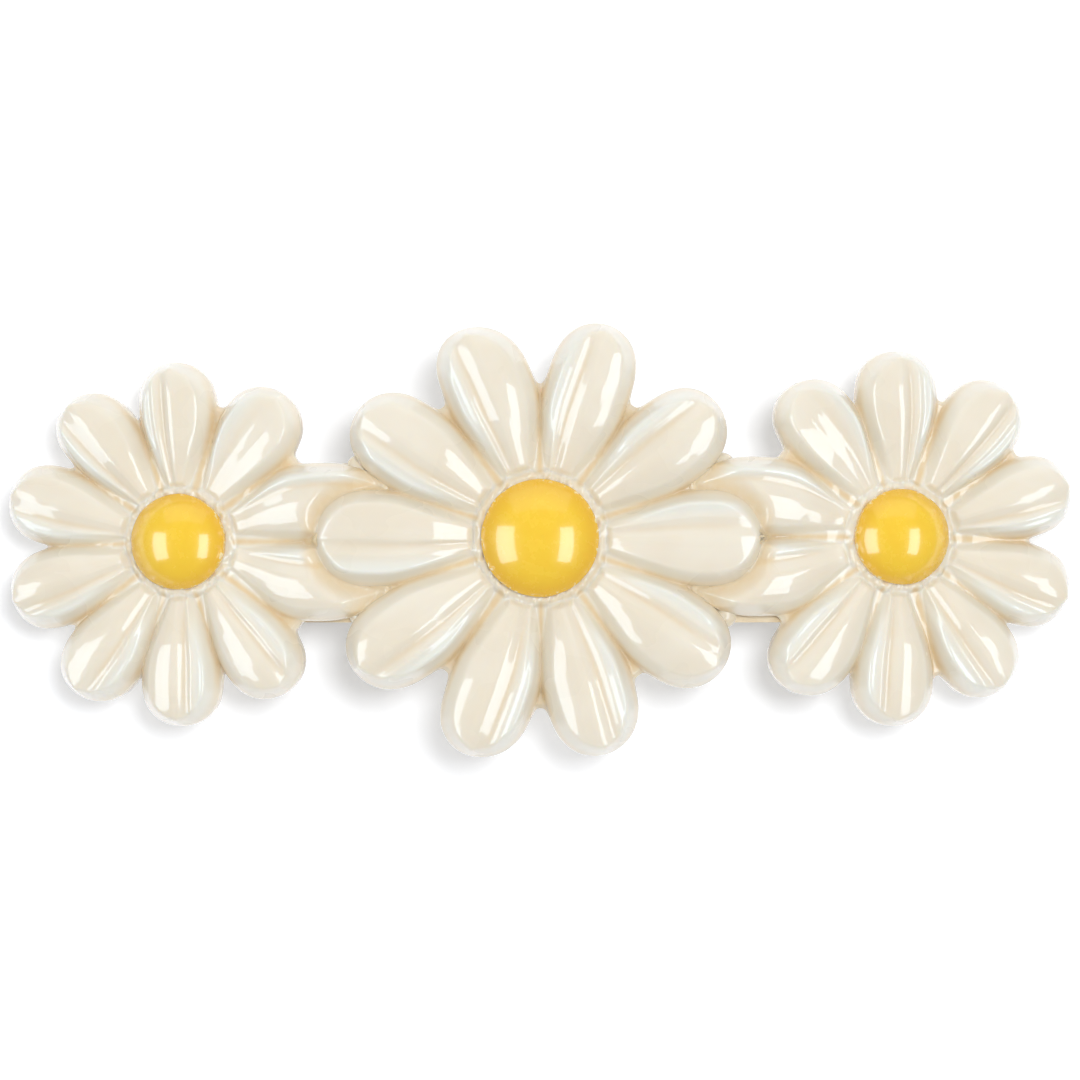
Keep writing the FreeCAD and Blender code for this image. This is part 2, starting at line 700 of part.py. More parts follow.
def make_backing_bar():
    """Moulded bar: arched underneath to sit on the adhesive, with three flats on top, one for the
    flat back of each daisy."""
    body = new_body("backing_bar")
    end = "backing_half_span"
    slope = "tan(side_tilt * 1 deg)"
    knee = f"(side_x - (centre_base_z - side_base_z) / {slope})"
    end_top = f"side_base_z - ({end} - side_x) * {slope}"
    low = "arch_radius + glue_thick"
    sketch = new_sketch(body, "XZ_Plane", "backing_profile")
    outline(
        sketch,
        [
            (f"-{end}", arch_z(low, end)),
            (end, arch_z(low, end)),
            (end, end_top),
            (knee, "centre_base_z"),
            (f"-{knee}", "centre_base_z"),
            (f"-{end}", end_top),
        ],
        {0: (low, 1)},
    )
    pad(body, sketch, "backing_width")
    reach = value(end) - NEAR
    fillet(body, "backing_corner", lambda p, edge: abs(p.x) > reach and is_upright(edge))
    body.setExpression("Placement.Base.y", bound("backing_shift_y"))
    nodes["backing_bar"] = body


# ---------------------------------------------------------------- daisies and their domes


def make_daisy(name, kind):
    """One moulded daisy, flat on the back: a web, ten crowned petals and a collared socket for its
    dome. kind is centre or side, the prefix of its sizes in the sheet."""
    body = new_body(name)
    web = new_sketch(body, "XY_Plane", f"{name}_web")
    circle(web, "0", "0", f"{kind}_web_radius")
    pad(body, web, f"{kind}_web_high", both_ways=False)

    sections = [
        petal_section(body, kind, f"{name}_section_{number}", shares)
        for number, shares in enumerate(PETAL_SECTIONS, start=1)
    ]
    doc.recompute()
    petal = body.newObject("PartDesign::AdditiveLoft", f"{name}_petal")
    petal.Profile = sections[0]
    petal.Sections = sections[1:]
    repeat_petal(body, petal, f"{name}_petals")

    collar = new_sketch(body, "XY_Plane", f"{name}_collar")
    circle(collar, "0", "0", f"{kind}_dome_radius + collar_wall")
    pad(body, collar, f"{kind}_dome_base", both_ways=False)
    socket = new_sketch(body, "XY_Plane", f"{name}_socket", f"socket_floor + {CLEAR}")
    circle(socket, "0", "0", f"{kind}_dome_radius + rivet_clearance")
    pocket(body, socket, f"{2 * CLEAR}")
    return body


def repeat_petal(body, petal, name):
    """Sets a daisy's petals round its middle."""
    doc.recompute()
    ring = body.newObject("PartDesign::PolarPattern", name)
    ring.Originals = [petal]
    ring.Axis = (origin_feature(body, "Z_Axis"), [""])
    ring.Angle = 360
    ring.setExpression("Occurrences", bound("petal_count"))
    body.Tip = ring
    doc.recompute()


def petal_section(body, kind, name, shares):
    """A petal's section square to its length: flat back, upright edges and a crowned top."""
    reach, half, edge, crest = shares
    sketch = new_sketch(body, "YZ_Plane", name, f"{kind}_tip_radius * {reach}")
    width = f"{kind}_petal_half * {half}"
    side = f"{kind}_edge_high * {edge}"
    rise = f"({kind}_crest_high * {crest} - {kind}_edge_high * {edge})"
    crown = f"(({width})^2 + {rise}^2) / (2 * {rise})"
    if value(rise) > value(width):
        raise RuntimeError(f"{name}: a crown is taller than a half circle")
    outline(
        sketch,
        [(f"-{width}", "0"), (width, "0"), (width, side), (f"-{width}", side)],
        {2: (crown, -1)},
    )
    return sketch


def make_dome(name, kind):
    """Yellow dome: a plug that fills the daisy's socket under a spherical cap."""
    body = new_body(name)
    sketch = new_sketch(body, "XZ_Plane", f"{name}_profile")
    radius, base, top = f"{kind}_dome_radius", f"{kind}_dome_base", f"{kind}_dome_top"
    cap = f"({radius}^2 + ({top} - {base})^2) / (2 * ({top} - {base}))"
    outline(
        sketch,
        [("0", "socket_floor"), (radius, "socket_floor"), (radius, base), ("0", top)],
        {2: (cap, -1)},
    )
    revolve(body, sketch, "Z_Axis")
    return body


def seat(body, side, shift, first_petal):
    """Lays a daisy or dome on its flat of the backing bar: side -1, 0 or 1 along X."""
    tilt = Rotation(Vector(0, 1, 0), side * value("side_tilt"))
    turn = Rotation(Vector(0, 0, 1), first_petal)
    height = "side_base_z" if side else "centre_base_z"
    body.Placement = Placement(Vector(), tilt.multiply(turn))
    body.setExpression("Placement.Base.x", bound(f"{side} * side_x"))
    body.setExpression("Placement.Base.y", bound(shift))
    body.setExpression("Placement.Base.z", bound(height))


def make_nest():
    """The room that the centre daisy takes from the side ones: its plan outline, from below its
    back to above its petals."""
    body = new_body("centre_daisy_room")
    sections = []
    for number, (reach, half, _edge, _crest) in enumerate(PETAL_SECTIONS, start=1):
        sketch = new_sketch(body, "YZ_Plane", f"room_section_{number}", f"centre_tip_radius * {reach}")
        width = f"(centre_petal_half * {half} + nest_gap)"
        corners = [(-1, "-nest_depth"), (1, "-nest_depth"), (1, "nest_high"), (-1, "nest_high")]
        outline(sketch, [(f"{side} * {width}", z) for side, z in corners])
        sections.append(sketch)
    doc.recompute()
    petal = body.newObject("PartDesign::AdditiveLoft", "room_petal")
    petal.Profile = sections[0]
    petal.Sections = sections[1:]
    repeat_petal(body, petal, "room_petals")
    body.setExpression("Placement.Base.z", bound("centre_base_z"))
    doc.recompute()
    return body


def make_flowers():
    """The centre daisy lies over the inner petals of the side daisies, which are cut to nest
    against its outline."""
    half_step = 180.0 / value("petal_count")
    centre = make_daisy("centre_daisy", "centre")
    seat(centre, 0, "0", 0)
    nodes["centre_daisy"] = centre
    dome = make_dome("centre_dome", "centre")
    seat(dome, 0, "0", 0)
    nodes["centre_dome"] = dome

    room = make_nest()
    for name, side in (("left", -1), ("right", 1)):
        whole = make_daisy(f"{name}_daisy_whole", "side")
        seat(whole, side, f"{name}_shift_y", half_step)
        nested = doc.addObject("Part::Cut", f"{name}_daisy")
        nested.Base = whole
        nested.Tool = room
        nodes[f"{name}_daisy"] = nested
        dome = make_dome(f"{name}_dome", "side")
        seat(dome, side, f"{name}_shift_y", 0)
        nodes[f"{name}_dome"] = dome
    doc.recompute()


# ---------------------------------------------------------------- checks and export


def check_document():
    for item in doc.Objects:
        bad = [word for word in item.State if word in ("Invalid", "Error")]
        if bad:
            raise RuntimeError(f"{item.Name} is {bad}")
    for name, item in nodes.items():
        shape = item.Shape
        if shape.isNull() or not shape.isValid() or not shape.Solids:
            raise RuntimeError(f"{name} has no valid solid")


def export_nodes():
    os.makedirs(PARTS_FOLDER, exist_ok=True)
    for name, item in sorted(nodes.items()):
        item.Label = name
        item.Shape.exportStep(os.path.join(PARTS_FOLDER, f"{name}.step"))
        box = item.Shape.BoundBox
        print(
            f"{name}: {len(item.Shape.Solids)} solid, {item.Shape.Volume:.2f} mm3,"
            f" x {box.XMin:.2f}..{box.XMax:.2f}, y {box.YMin:.2f}..{box.YMax:.2f},"
            f" z {box.ZMin:.2f}..{box.ZMax:.2f}"
        )


make_back_plate()
make_hinge_pin()
make_clasp_arm()
make_tension_bar()
make_catch_base()
make_catch_leg("front_catch_leg", -1)
make_catch_leg("rear_catch_leg", 1)
make_catch_rivet()
make_adhesive_bed()
make_backing_bar()
make_flowers()
doc.recompute()
check_document()
export_nodes()
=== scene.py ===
"""Looks of the daisy barrette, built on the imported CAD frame: moulded pearl daisies, enamel domes,
a cream backing bar and a nickel-plated spring clasp, seen from straight above on a white table.
Metres, in the CAD's own frame. Millimetre sizes are multiplied by MM."""

import math
from collections import namedtuple

import bpy
import numpy as np
from mathutils import Matrix, Vector


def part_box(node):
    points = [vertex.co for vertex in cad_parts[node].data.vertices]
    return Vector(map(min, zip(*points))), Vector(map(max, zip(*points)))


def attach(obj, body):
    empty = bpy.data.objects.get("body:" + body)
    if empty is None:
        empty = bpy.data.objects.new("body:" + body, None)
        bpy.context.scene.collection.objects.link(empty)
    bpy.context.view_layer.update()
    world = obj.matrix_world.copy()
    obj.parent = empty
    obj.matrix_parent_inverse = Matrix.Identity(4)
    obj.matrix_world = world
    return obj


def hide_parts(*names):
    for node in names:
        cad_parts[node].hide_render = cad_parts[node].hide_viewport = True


MM = 0.001

# ---------------------------------------------------------------- the object's sizes, in millimetres

SIDE_TILT = math.radians(11.1)  # slope of the side daisies' flats on the backing bar
SIDE_X = 28.9  # the middle of a side daisy's flat back along the row, and its height
SIDE_BASE = 9.52
PETAL_STEP = math.radians(36.0)
SEAM_SLOPE = math.tan(PETAL_STEP / 2)

# A petal's direction in degrees, reach, half width, place of the crease across it (0 is the middle,
# 1 the edge on the ridged side), how far it is cupped like a spoon, and how far its centre line
# bends sideways towards the tip.
Petal = namedtuple("Petal", "direction reach width crease cup bend")
CENTRE_PETALS = [
    Petal(0.0, 18.1, 3.95, 0.24, 0.35, 0.0),
    Petal(36.0, 18.0, 3.70, 0.30, 0.0, 0.2),
    Petal(72.3, 18.1, 3.50, 0.26, 0.0, 0.0),
    Petal(108.0, 18.0, 3.70, 0.30, 0.0, 0.7),
    Petal(144.9, 18.0, 3.68, 0.28, 0.1, 0.1),
    Petal(180.0, 18.35, 3.95, 0.16, 0.40, 0.0),
    Petal(216.2, 18.5, 3.75, 0.26, 0.0, -0.2),
    Petal(253.2, 18.5, 3.70, 0.30, 0.0, -0.4),
    Petal(288.0, 18.3, 3.70, 0.28, 0.0, -0.2),
    Petal(324.2, 18.2, 3.80, 0.26, 0.0, 0.0),
]
LEFT_PETALS = [
    Petal(18.0, 18.6, 3.30, 0.42, 0.1, -3.1),
    Petal(54.6, 14.65, 3.35, 0.24, 0.75, 0.0),
    Petal(91.9, 14.6, 3.20, 0.22, 0.0, 0.3),
    Petal(128.4, 14.8, 3.18, 0.34, 0.0, 0.7),
    Petal(164.6, 14.9, 3.28, 0.32, 0.1, 0.2),
    Petal(199.4, 15.0, 3.28, 0.28, 0.0, -0.1),
    Petal(235.6, 15.2, 3.35, 0.26, 0.0, -0.5),
    Petal(269.9, 15.0, 3.35, 0.24, 0.0, 0.0),
    Petal(305.6, 15.0, 3.30, 0.22, 0.0, 0.2),
    Petal(342.0, 18.6, 3.40, 0.38, 0.0, 3.4),
]
RIGHT_PETALS = [
    Petal(16.9, 15.0, 3.30, 0.32, 0.0, -0.2),
    Petal(53.2, 15.1, 3.40, 0.20, 0.1, 0.0),
    Petal(90.5, 15.1, 3.40, 0.22, 0.0, 0.2),
    Petal(125.4, 15.1, 3.32, 0.24, 0.75, 0.6),
    Petal(162.0, 18.6, 3.35, 0.42, 0.1, 2.9),
    Petal(198.0, 18.6, 3.35, 0.38, 0.0, -3.2),
    Petal(233.4, 15.4, 3.40, 0.26, 0.0, -0.6),
    Petal(267.6, 15.4, 3.40, 0.24, 0.0, 0.2),
    Petal(304.8, 15.2, 3.40, 0.24, 0.0, 0.0),
    Petal(339.8, 15.1, 3.38, 0.28, 0.0, 0.2),
]
BEND_START = 8.0  # where the bend begins, and the length over which it grows to its full amount
BEND_RUN = 10.0

# Height across a petal, from its plain edge (-1) to its ridged edge (1), as shares of its relief.
# The broad lobe falls evenly to its edge; past the crease come two narrow ridges.
BROAD_LOBE = [
    (-1.0, 0.0),
    (-0.93, 0.24),
    (-0.82, 0.44),
    (-0.66, 0.65),
    (-0.48, 0.82),
    (-0.30, 0.93),
    (-0.10, 1.0),
    (0.04, 0.97),
]
PAST_CREASE = [(0.0, 0.74), (0.08, 0.77), (0.20, 0.90), (0.34, 0.76)]
RIDGED_EDGE = [(0.76, 0.83), (0.90, 0.46), (1.0, 0.0)]
SPOON = [
    (-1.0, 0.0),
    (-0.84, 0.74),
    (-0.66, 0.80),
    (-0.2, 0.52),
    (0.15, 0.48),
    (0.5, 0.66),
    (0.70, 0.92),
    (0.88, 0.62),
    (1.0, 0.0),
]

# Along a petal, as shares of its reach: how far the whole petal lifts, and how strong its relief is.
ALONG = [0.28, 0.36, 0.46, 0.56, 0.68, 0.80, 0.90, 1.0]
LIFT = [-0.45, -0.22, 0.16, 0.48, 0.66, 0.66, 0.54, 0.32]
RELIEF = [0.60, 0.78, 0.91, 0.98, 1.0, 1.0, 0.92, 0.70]

# Each daisy: the side its petals have their ridges on (1 anticlockwise, -1 clockwise), how far the web
# after each petal reaches, the width of the petals' rounded edges, and heights over its flat back: the
# outer wall, the petals' rims, how far LIFT and RELIEF raise them, the web and the collar round the
# dome. Then the dome's radius, the height of its cap's edge over the same back and the radius of the
# cap's sphere, and the seeds that the petals' and the dome's unevenness start from.
CENTRE = {
    "petals": CENTRE_PETALS,
    "hand": 1,
    "web_reach": [13.3, 13.1, 12.5, 13.2, 13.3, 13.2, 13.2, 13.8, 13.7, 13.3],
    "roll": 0.8,
    "wall": 1.5,
    "rim": 1.95,
    "lift": 1.0,
    "relief": 1.85,
    "web": 1.5,
    "collar": 2.55,
    "dome_radius": 4.75,
    "dome_edge": 3.35,
    "dome_sphere": 6.4,
    "seed": 11,
    "dome_seed": 3,
}
SIDE = {
    "roll": 0.75,
    "wall": 1.0,
    "rim": 1.65,
    "lift": 0.8,
    "relief": 1.6,
    "web": 1.3,
    "collar": 2.12,
    "dome_radius": 3.87,
    "dome_edge": 2.75,
    "dome_sphere": 4.6,
}
LEFT = dict(
    SIDE,
    petals=LEFT_PETALS,
    hand=1,
    web_reach=[11.6, 11.4, 10.5, 10.9, 10.0, 11.3, 11.2, 11.1, 11.9, 11.4],
    seed=31,
    dome_seed=5,
)
RIGHT = dict(
    SIDE,
    petals=RIGHT_PETALS,
    hand=-1,
    web_reach=[12.0, 11.6, 10.6, 11.8, 11.4, 11.8, 11.6, 11.8, 11.2, 11.0],
    seed=57,
    dome_seed=8,
)

# How finely a daisy is made.
COLUMNS = 720  # round it
TOP_ROWS = 100  # from the collar to the outline
ROW_CROWDING = 1.3  # over 1, the rows crowd together towards the outline
COLLAR_OVERLAP = 0.08  # how far the collar reaches in under the dome's edge
SOFTNESS = 0.07  # how softly two surfaces of a daisy run into each other
OUTLINE_SAMPLES = 700
OUTLINE_SEARCH = (0.45, 1.03)  # where the outline is looked for, as shares of the longest reach
OUTLINE_SOFTNESS = 0.16  # how softly petals and web meet in the outline
OUTLINE_KERNEL = np.hanning(9)  # smooths the outline over neighbouring columns

# Curves across and along a petal.
ACROSS_END = 1.3  # sampled from minus this to this
ACROSS_SAMPLES = 1041
ACROSS_BLUR = 0.03
ALONG_SAMPLES = 201
ALONG_KERNEL = np.hanning(25)

# A petal's outline.
ROOT_SPREAD = 1.03  # how much wider than its share of the circle a petal is towards its root
SHOULDER_SOFTNESS = 0.18  # how softly it stops widening
TIP_START = 0.72  # share of its reach where it starts to round off
TIP_POWER = 2.7  # 2 would make the tip an ellipse, more makes it blunter
SLOPE_STEP = 0.05  # for the outline's slope
ROOT_OFFSET = 0.22  # from the dome's edge to the petal's root
ROOT_STEEPNESS = 1.3  # how steeply the root rises, against the petal's other edges
LEAST_WIDTH = 0.2  # keeps places across a petal finite at its root

# A petal's surface.
PLACE_LIMIT = 1.2  # places across a petal go no further than this, just past its edges
EASE_WIDTH = 1.5  # how far in the relief reaches its full height, in widths of the rounded edge
CREASE_PIVOT = 0.6  # share of the reach where a wandering crease keeps its place
SKIN_RIPPLE = 0.03  # height and wavelength of the skin's unevenness
SKIN_WAVELENGTH = 3.4
OUTER_FALL = 2.5  # slope of a petal's surface outside its own outline
SHEEN_PLACE = 0.66  # where across a petal the painted sheen on its ridge is, and how wide
SHEEN_WIDTH = 0.2
SHEEN_BEGINS = (0.3, 0.55)  # shares of the reach between which the ridge's painted sheen comes in
# where along and across a petal the tan painted shade of its crease shows
GROOVE_WIDTH = 0.075
GROOVE_BEGINS = (0.3, 0.5)
GROOVE_ENDS = (0.98, 0.75)

# How much petals and collar beads differ, up to an amount either way, and a rate that keeps
# neighbours from being alike.
ROOT_VARIES = (0.12, 5.1)
CREASE_VARIES = (0.16, 2.3)
RELIEF_VARIES = (0.07, 3.7)
BEAD_TURN_VARIES = (0.3, 7.0)
BEAD_REACH_VARIES = (0.08, 4.0)

# The web between petals: it rises inwards, is uneven and drops at the outline.
WEB_FALL = (0.55, 1.0)  # shares of the web's reach
WEB_RISE = 0.45
WEB_RIPPLE = 0.05
WEB_WAVELENGTH = 1.6
WEB_SEED = 50  # added to the daisy's own seed, as is COLLAR_SEED
OUTLINE_BAND = 0.35  # width and slope of the drop
OUTLINE_DROP = 0.9

# The collar round a dome: level next to it, then falling outwards ever more steeply.
COLLAR_LEVEL = 0.12
COLLAR_FALL = 1.8
COLLAR_RIPPLE = 0.13
COLLAR_WAVELENGTH = 0.8
COLLAR_SEED = 70

# Beads on the collar: half the angle between a pair, how far they are from the dome, height and size.
BEAD_SPREAD = math.radians(5.5)
BEAD_OFFSET = 0.65
BEAD_HEIGHT = 0.38
BEAD_SIZE = 0.42

# How much tan painted shade shows in the seams, the creases and the other low places, and where.
SEAM_SHADE = 0.95
CREASE_SHADE = 0.42
LOW_SHADE = 0.2
SEAM_WIDTH = 0.5
SEAM_ENDS = (1.02, 0.9)  # shares of the outline's radius
COLLAR_PALE = (0.7, 0.2)  # distances from the dome: the painted shade in the seams fades out between them
LOW_DEPTH = (0.55, 1.0)  # shares of the depth between crest and wall
RIM_HIGHLIGHT_INSET = 0.7  # middle of the painted highlight band inside a petal's edge

# Where a side daisy runs under the centre one. Its height is limited near the centre daisy's outline,
# more so at the seams, and a fillet of resin closes the join. Inside the outline it goes down out of
# sight. The gap is a point's distance outside that outline.
UNDER_LIMIT = 2.15  # at the outline, over the centre daisy's back
UNDER_RISE = 0.5  # added for each millimetre of gap
UNDER_LEVEL = 2.4  # heights of the side daisy's own relief are taken from here
UNDER_RELIEF = 0.3  # how much of that relief is kept
UNDER_SOFTNESS = 0.14
NOTCH_DEPTH = 1.1
NOTCH_SIZE = 2.4
JOIN_REACH = 1.5  # the gap at which the centre daisy's influence ends
JOIN_SOFTNESS = 0.1
# tan painted shadow of the centre daisy on the side one, near the join
JOIN_SHADOW = 0.8
FILLET_HEIGHT = 1.8  # at the outline, over the centre daisy's back
FILLET_SLOPE = 1.3
HIDE_BAND = (-0.12, -0.5)  # the gaps between which it drops out of sight
HIDE_DROP = 0.3
HIDE_SLOPE = 2.0
LEAST_THICKNESS = 0.05
LIKELY_HEIGHT = 2.2  # about what the side daisies' height comes to there, over the centre one's back

# The outer wall below a daisy's edge, ring by ring: share of the edge's height, and inset.
WALL_RINGS = [(0.8, 0.0), (0.45, 0.0), (0.12, 0.02), (0.0, 0.14)]
# tan painted shade on the outer wall under a daisy's edge, at least this much
WALL_SHADE = 0.35
SOCKET_FLOOR = 1.0  # under the dome, over the daisy's back

# Domes: rings below the cap's edge, as share of its radius and depth below it.
DOME_COLUMNS = 160
DOME_ROWS = 40
DOME_UNDERSIDE = 1.02  # just clear of the socket's floor
DOME_WALL = [(1.004, 0.12), (1.006, 0.3), (1.006, 0.6)]
DOME_WOBBLE = 0.008
DOME_WAVELENGTH = 3.0
DOME_RIPPLE_RADIUS = 5.0  # the circle that the rim's unevenness is taken round

# Resin beads where the daisies meet at the waists: x, y, radius and height over the centre daisy's back.
WAIST_BEADS = [
    (-14.7, 5.75, 0.95, 0.55),
    (-14.95, 4.4, 0.34, 1.55),
    (-15.3, 5.3, 0.22, 1.35),
    (-14.5, -6.2, 1.0, 0.5),
    (-14.6, -4.7, 0.26, 1.5),
    (-15.2, -5.6, 0.22, 1.2),
    (14.8, 6.0, 0.95, 0.5),
    (14.5, 4.7, 0.28, 1.5),
    (14.9, -6.3, 0.95, 0.5),
    (15.1, -5.3, 0.24, 1.3),
]
WAIST_BEAD_ROWS = 14
WAIST_BEAD_COLUMNS = 24
WAIST_BEAD_FLATNESS = 0.9  # height against width
WAIST_BEAD_LUMPS = 0.08
# an even tan of painted shade over each whole bead
WAIST_BEAD_SHADE = 0.25

BACKING_EDGE = 0.5  # how far the backing bar's edges are rounded


# ---------------------------------------------------------------- small helpers


def smooth_step(low, high, x):
    """0 up to low, 1 from high, and a soft step between; low may be the greater of the two."""
    t = np.clip((x - low) / (high - low), 0.0, 1.0)
    return t * t * (3 - 2 * t)


def bell(distance, width):
    """1 in the middle, falling off softly to both sides."""
    return np.exp(-((distance / width) ** 2))


def varied(variation, number, phase=0):
    """A difference between numbered neighbours, from an amount and a rate, the same on every run."""
    amount, rate = variation
    return amount * math.sin(rate * number + phase)


def smoothed(values, kernel, ends="edge"):
    """Values averaged over their neighbours; the ends repeat their last value or wrap round."""
    padded = np.pad(values, len(kernel) // 2, mode=ends)
    return np.convolve(padded, kernel / kernel.sum(), mode="valid")


def soft_max(layers, softness):
    """The highest of several surfaces, with their meeting lines rounded."""
    stack = np.stack(layers)
    top = stack.max(axis=0)
    return top + softness * np.log(np.exp((stack - top) / softness).sum(axis=0))


def curve_across(points):
    """A curve across a petal through given points, smoothed: the places it is sampled at, and it."""
    places = np.linspace(-ACROSS_END, ACROSS_END, ACROSS_SAMPLES)
    step = places[1] - places[0]
    values = np.interp(places, [p[0] for p in points], [p[1] for p in points])
    reach = int(4 * ACROSS_BLUR / step)
    kernel = np.exp(-0.5 * (np.arange(-reach, reach + 1) * step / ACROSS_BLUR) ** 2)
    return places, smoothed(values, kernel)


def curve_along(values):
    """A quantity along a petal, smoothed: the shares of the reach it is sampled at, and it."""
    shares = np.linspace(0.0, 1.0, ALONG_SAMPLES)
    return shares, smoothed(np.interp(shares, ALONG, values), ALONG_KERNEL)


def ripples(x, y, seed, wavelength, waves=9):
    """Gentle unevenness of a hand-finished mould, about -1 to 1, the same on every run."""
    rng = np.random.default_rng(seed)
    total = np.zeros_like(x)
    for _ in range(waves):
        turn = rng.uniform(0, 2 * math.pi)
        rate = 2 * math.pi / (wavelength * rng.uniform(0.7, 1.6))
        phase = rng.uniform(0, 2 * math.pi)
        total += np.sin(rate * (x * math.cos(turn) + y * math.sin(turn)) + phase)
    return total / waves * 1.8


# ---------------------------------------------------------------- daisies


def seam_turns(style):
    """Directions of the seams of a daisy, each between a petal and the next one round."""
    turns = [math.radians(petal.direction) for petal in style["petals"]]
    return [(a + b) / 2 for a, b in zip(turns, turns[1:] + [turns[0] + 2 * math.pi])]


def half_width(along, petal):
    """Half the width of a petal at a distance from the daisy's middle: it widens along the seams,
    holds its width, then rounds off to its tip. Also gives the width without that rounding."""
    root = np.maximum(along, 0.0) * SEAM_SLOPE * ROOT_SPREAD
    body = -soft_max([-root, np.full_like(root, -petal.width)], SHOULDER_SOFTNESS)
    start = TIP_START * petal.reach
    t = np.clip((along - start) / (petal.reach - start), 0.0, 1.0)
    return body * np.sqrt(np.maximum(1 - t**TIP_POWER, 0.0)), body


def petal_axes(x, y, petal):
    """Distances along and across a petal, whose centre line may bend sideways towards its tip."""
    turn = math.radians(petal.direction)
    along = x * math.cos(turn) + y * math.sin(turn)
    across = -x * math.sin(turn) + y * math.cos(turn)
    return along, across - petal.bend * (np.maximum(along - BEND_START, 0.0) / BEND_RUN) ** 2


def petal_places(x, y, petal, style, seed):
    """How far points of the daisy's plane are inside a petal (negative is outside), and their places
    along it as shares of its reach and across it as shares of half its width."""
    along, across = petal_axes(x, y, petal)
    half, body = half_width(along, petal)
    ahead, _ = half_width(along + SLOPE_STEP, petal)
    behind, _ = half_width(along - SLOPE_STEP, petal)
    slope = (ahead - behind) / (2 * SLOPE_STEP)
    inside = (half - np.abs(across)) / np.sqrt(1 + np.minimum(slope, 0.0) ** 2)
    inside = np.where(along > petal.reach, petal.reach - along, inside)
    root = style["dome_radius"] + ROOT_OFFSET + varied(ROOT_VARIES, seed)
    inside = np.minimum(inside, (np.hypot(x, y) - root) * ROOT_STEEPNESS)
    return inside, along / petal.reach, across * style["hand"] / np.maximum(body, LEAST_WIDTH)


def petal_profile(place, petal):
    """Height across a petal, as a share of its relief."""
    ridged = [(petal.crease + p, z) for p, z in PAST_CREASE]
    places, plain = curve_across(BROAD_LOBE + ridged + RIDGED_EDGE)
    _, spoon = curve_across(SPOON)
    return np.interp(place, places, (1 - petal.cup) * plain + petal.cup * spoon)


def petal_surface(x, y, petal, style, seed):
    """Height of one petal over points of the daisy's plane, with what the painted light and shade need:
    how far a point is inside the petal, how near to its ridge and crease, and how far below its crest."""
    inside, share, place = petal_places(x, y, petal, style, seed)
    drift = varied(CREASE_VARIES, seed) * (share - CREASE_PIVOT) * smooth_step(0.0, 1.0, inside)
    place = np.clip(place - drift, -PLACE_LIMIT, PLACE_LIMIT)

    rise = np.interp(share, *curve_along(RELIEF))
    lift = style["lift"] * np.interp(share, *curve_along(LIFT))
    roll = np.sqrt(np.maximum(1 - (1 - np.clip(inside / style["roll"], 0.0, 1.0)) ** 2, 0.0))
    ease = smooth_step(0.0, EASE_WIDTH * style["roll"], inside)
    relief = style["relief"] * (1 + varied(RELIEF_VARIES, seed))
    height = style["wall"] + (style["rim"] + lift - style["wall"]) * roll
    height += relief * rise * petal_profile(place, petal) * ease
    height += SKIN_RIPPLE * ripples(x, y, seed, SKIN_WAVELENGTH) * ease
    height = np.where(inside < 0, style["wall"] + OUTER_FALL * inside, height)

    crest = style["rim"] + lift + relief * rise
    groove = bell(place - petal.crease, GROOVE_WIDTH) * (1 - petal.cup)
    return {
        "height": height,
        "inside": inside,
        # ridge places the painted sheen; groove and depth place the tan painted shade
        "ridge": bell(place - SHEEN_PLACE, SHEEN_WIDTH) * smooth_step(*SHEEN_BEGINS, share) * ease,
        "groove": groove * (smooth_step(*GROOVE_ENDS, share) * smooth_step(*GROOVE_BEGINS, share)),
        "depth": np.clip((crest - height) / (crest - style["wall"]), 0.0, 1.0),
    }


def outline_radius(style):
    """Each column's direction, and its distances from the middle to the outline and to the web's end."""
    turns = np.arange(COLUMNS) * 2 * math.pi / COLUMNS
    longest = max(petal.reach for petal in style["petals"])
    radii = np.linspace(OUTLINE_SEARCH[0] * longest, OUTLINE_SEARCH[1] * longest, OUTLINE_SAMPLES)
    x = np.cos(turns)[:, None] * radii[None, :]
    y = np.sin(turns)[:, None] * radii[None, :]
    reaches = []
    for petal in style["petals"]:
        along, across = petal_axes(x, y, petal)
        half, _ = half_width(along, petal)
        inside = (half > np.abs(across)) & (along < petal.reach)
        last = np.where(inside.any(axis=1), radii.size - 1 - np.argmax(inside[:, ::-1], axis=1), 0)
        reaches.append(radii[last])
    web = np.interp(turns, seam_turns(style), style["web_reach"], period=2 * math.pi)
    radius = soft_max(reaches + [web], OUTLINE_SOFTNESS)
    return turns, smoothed(radius, OUTLINE_KERNEL, ends="wrap"), web


def web_surface(x, y, outline, web, style):
    """Height of the resin between the petals."""
    radii = np.hypot(x, y)
    fall = smooth_step(*WEB_FALL, radii / web)
    uneven = WEB_RIPPLE * ripples(x, y, style["seed"] + WEB_SEED, WEB_WAVELENGTH)
    drop = OUTLINE_DROP * np.maximum(radii - outline + OUTLINE_BAND, 0.0)
    return style["web"] + WEB_RISE * (1 - fall) + uneven - drop


def collar_surface(x, y, style):
    """Height of the lumpy collar round the dome, with a bead at each side of every seam."""
    outwards = np.hypot(x, y) - style["dome_radius"]
    uneven = COLLAR_RIPPLE * ripples(x, y, style["seed"] + COLLAR_SEED, COLLAR_WAVELENGTH)
    fall = COLLAR_FALL * np.maximum(outwards - COLLAR_LEVEL, 0.0) ** 2
    beads = np.zeros_like(x)
    for number, seam in enumerate(seam_turns(style)):
        for side in (-1, 1):
            turn = seam + side * BEAD_SPREAD * (1 + varied(BEAD_TURN_VARIES, number, side))
            reach = style["dome_radius"] + BEAD_OFFSET + varied(BEAD_REACH_VARIES, number, 2 * side)
            away = np.hypot(x - reach * math.cos(turn), y - reach * math.sin(turn))
            beads += BEAD_HEIGHT * bell(away, BEAD_SIZE)
    return style["collar"] + uneven - fall + beads


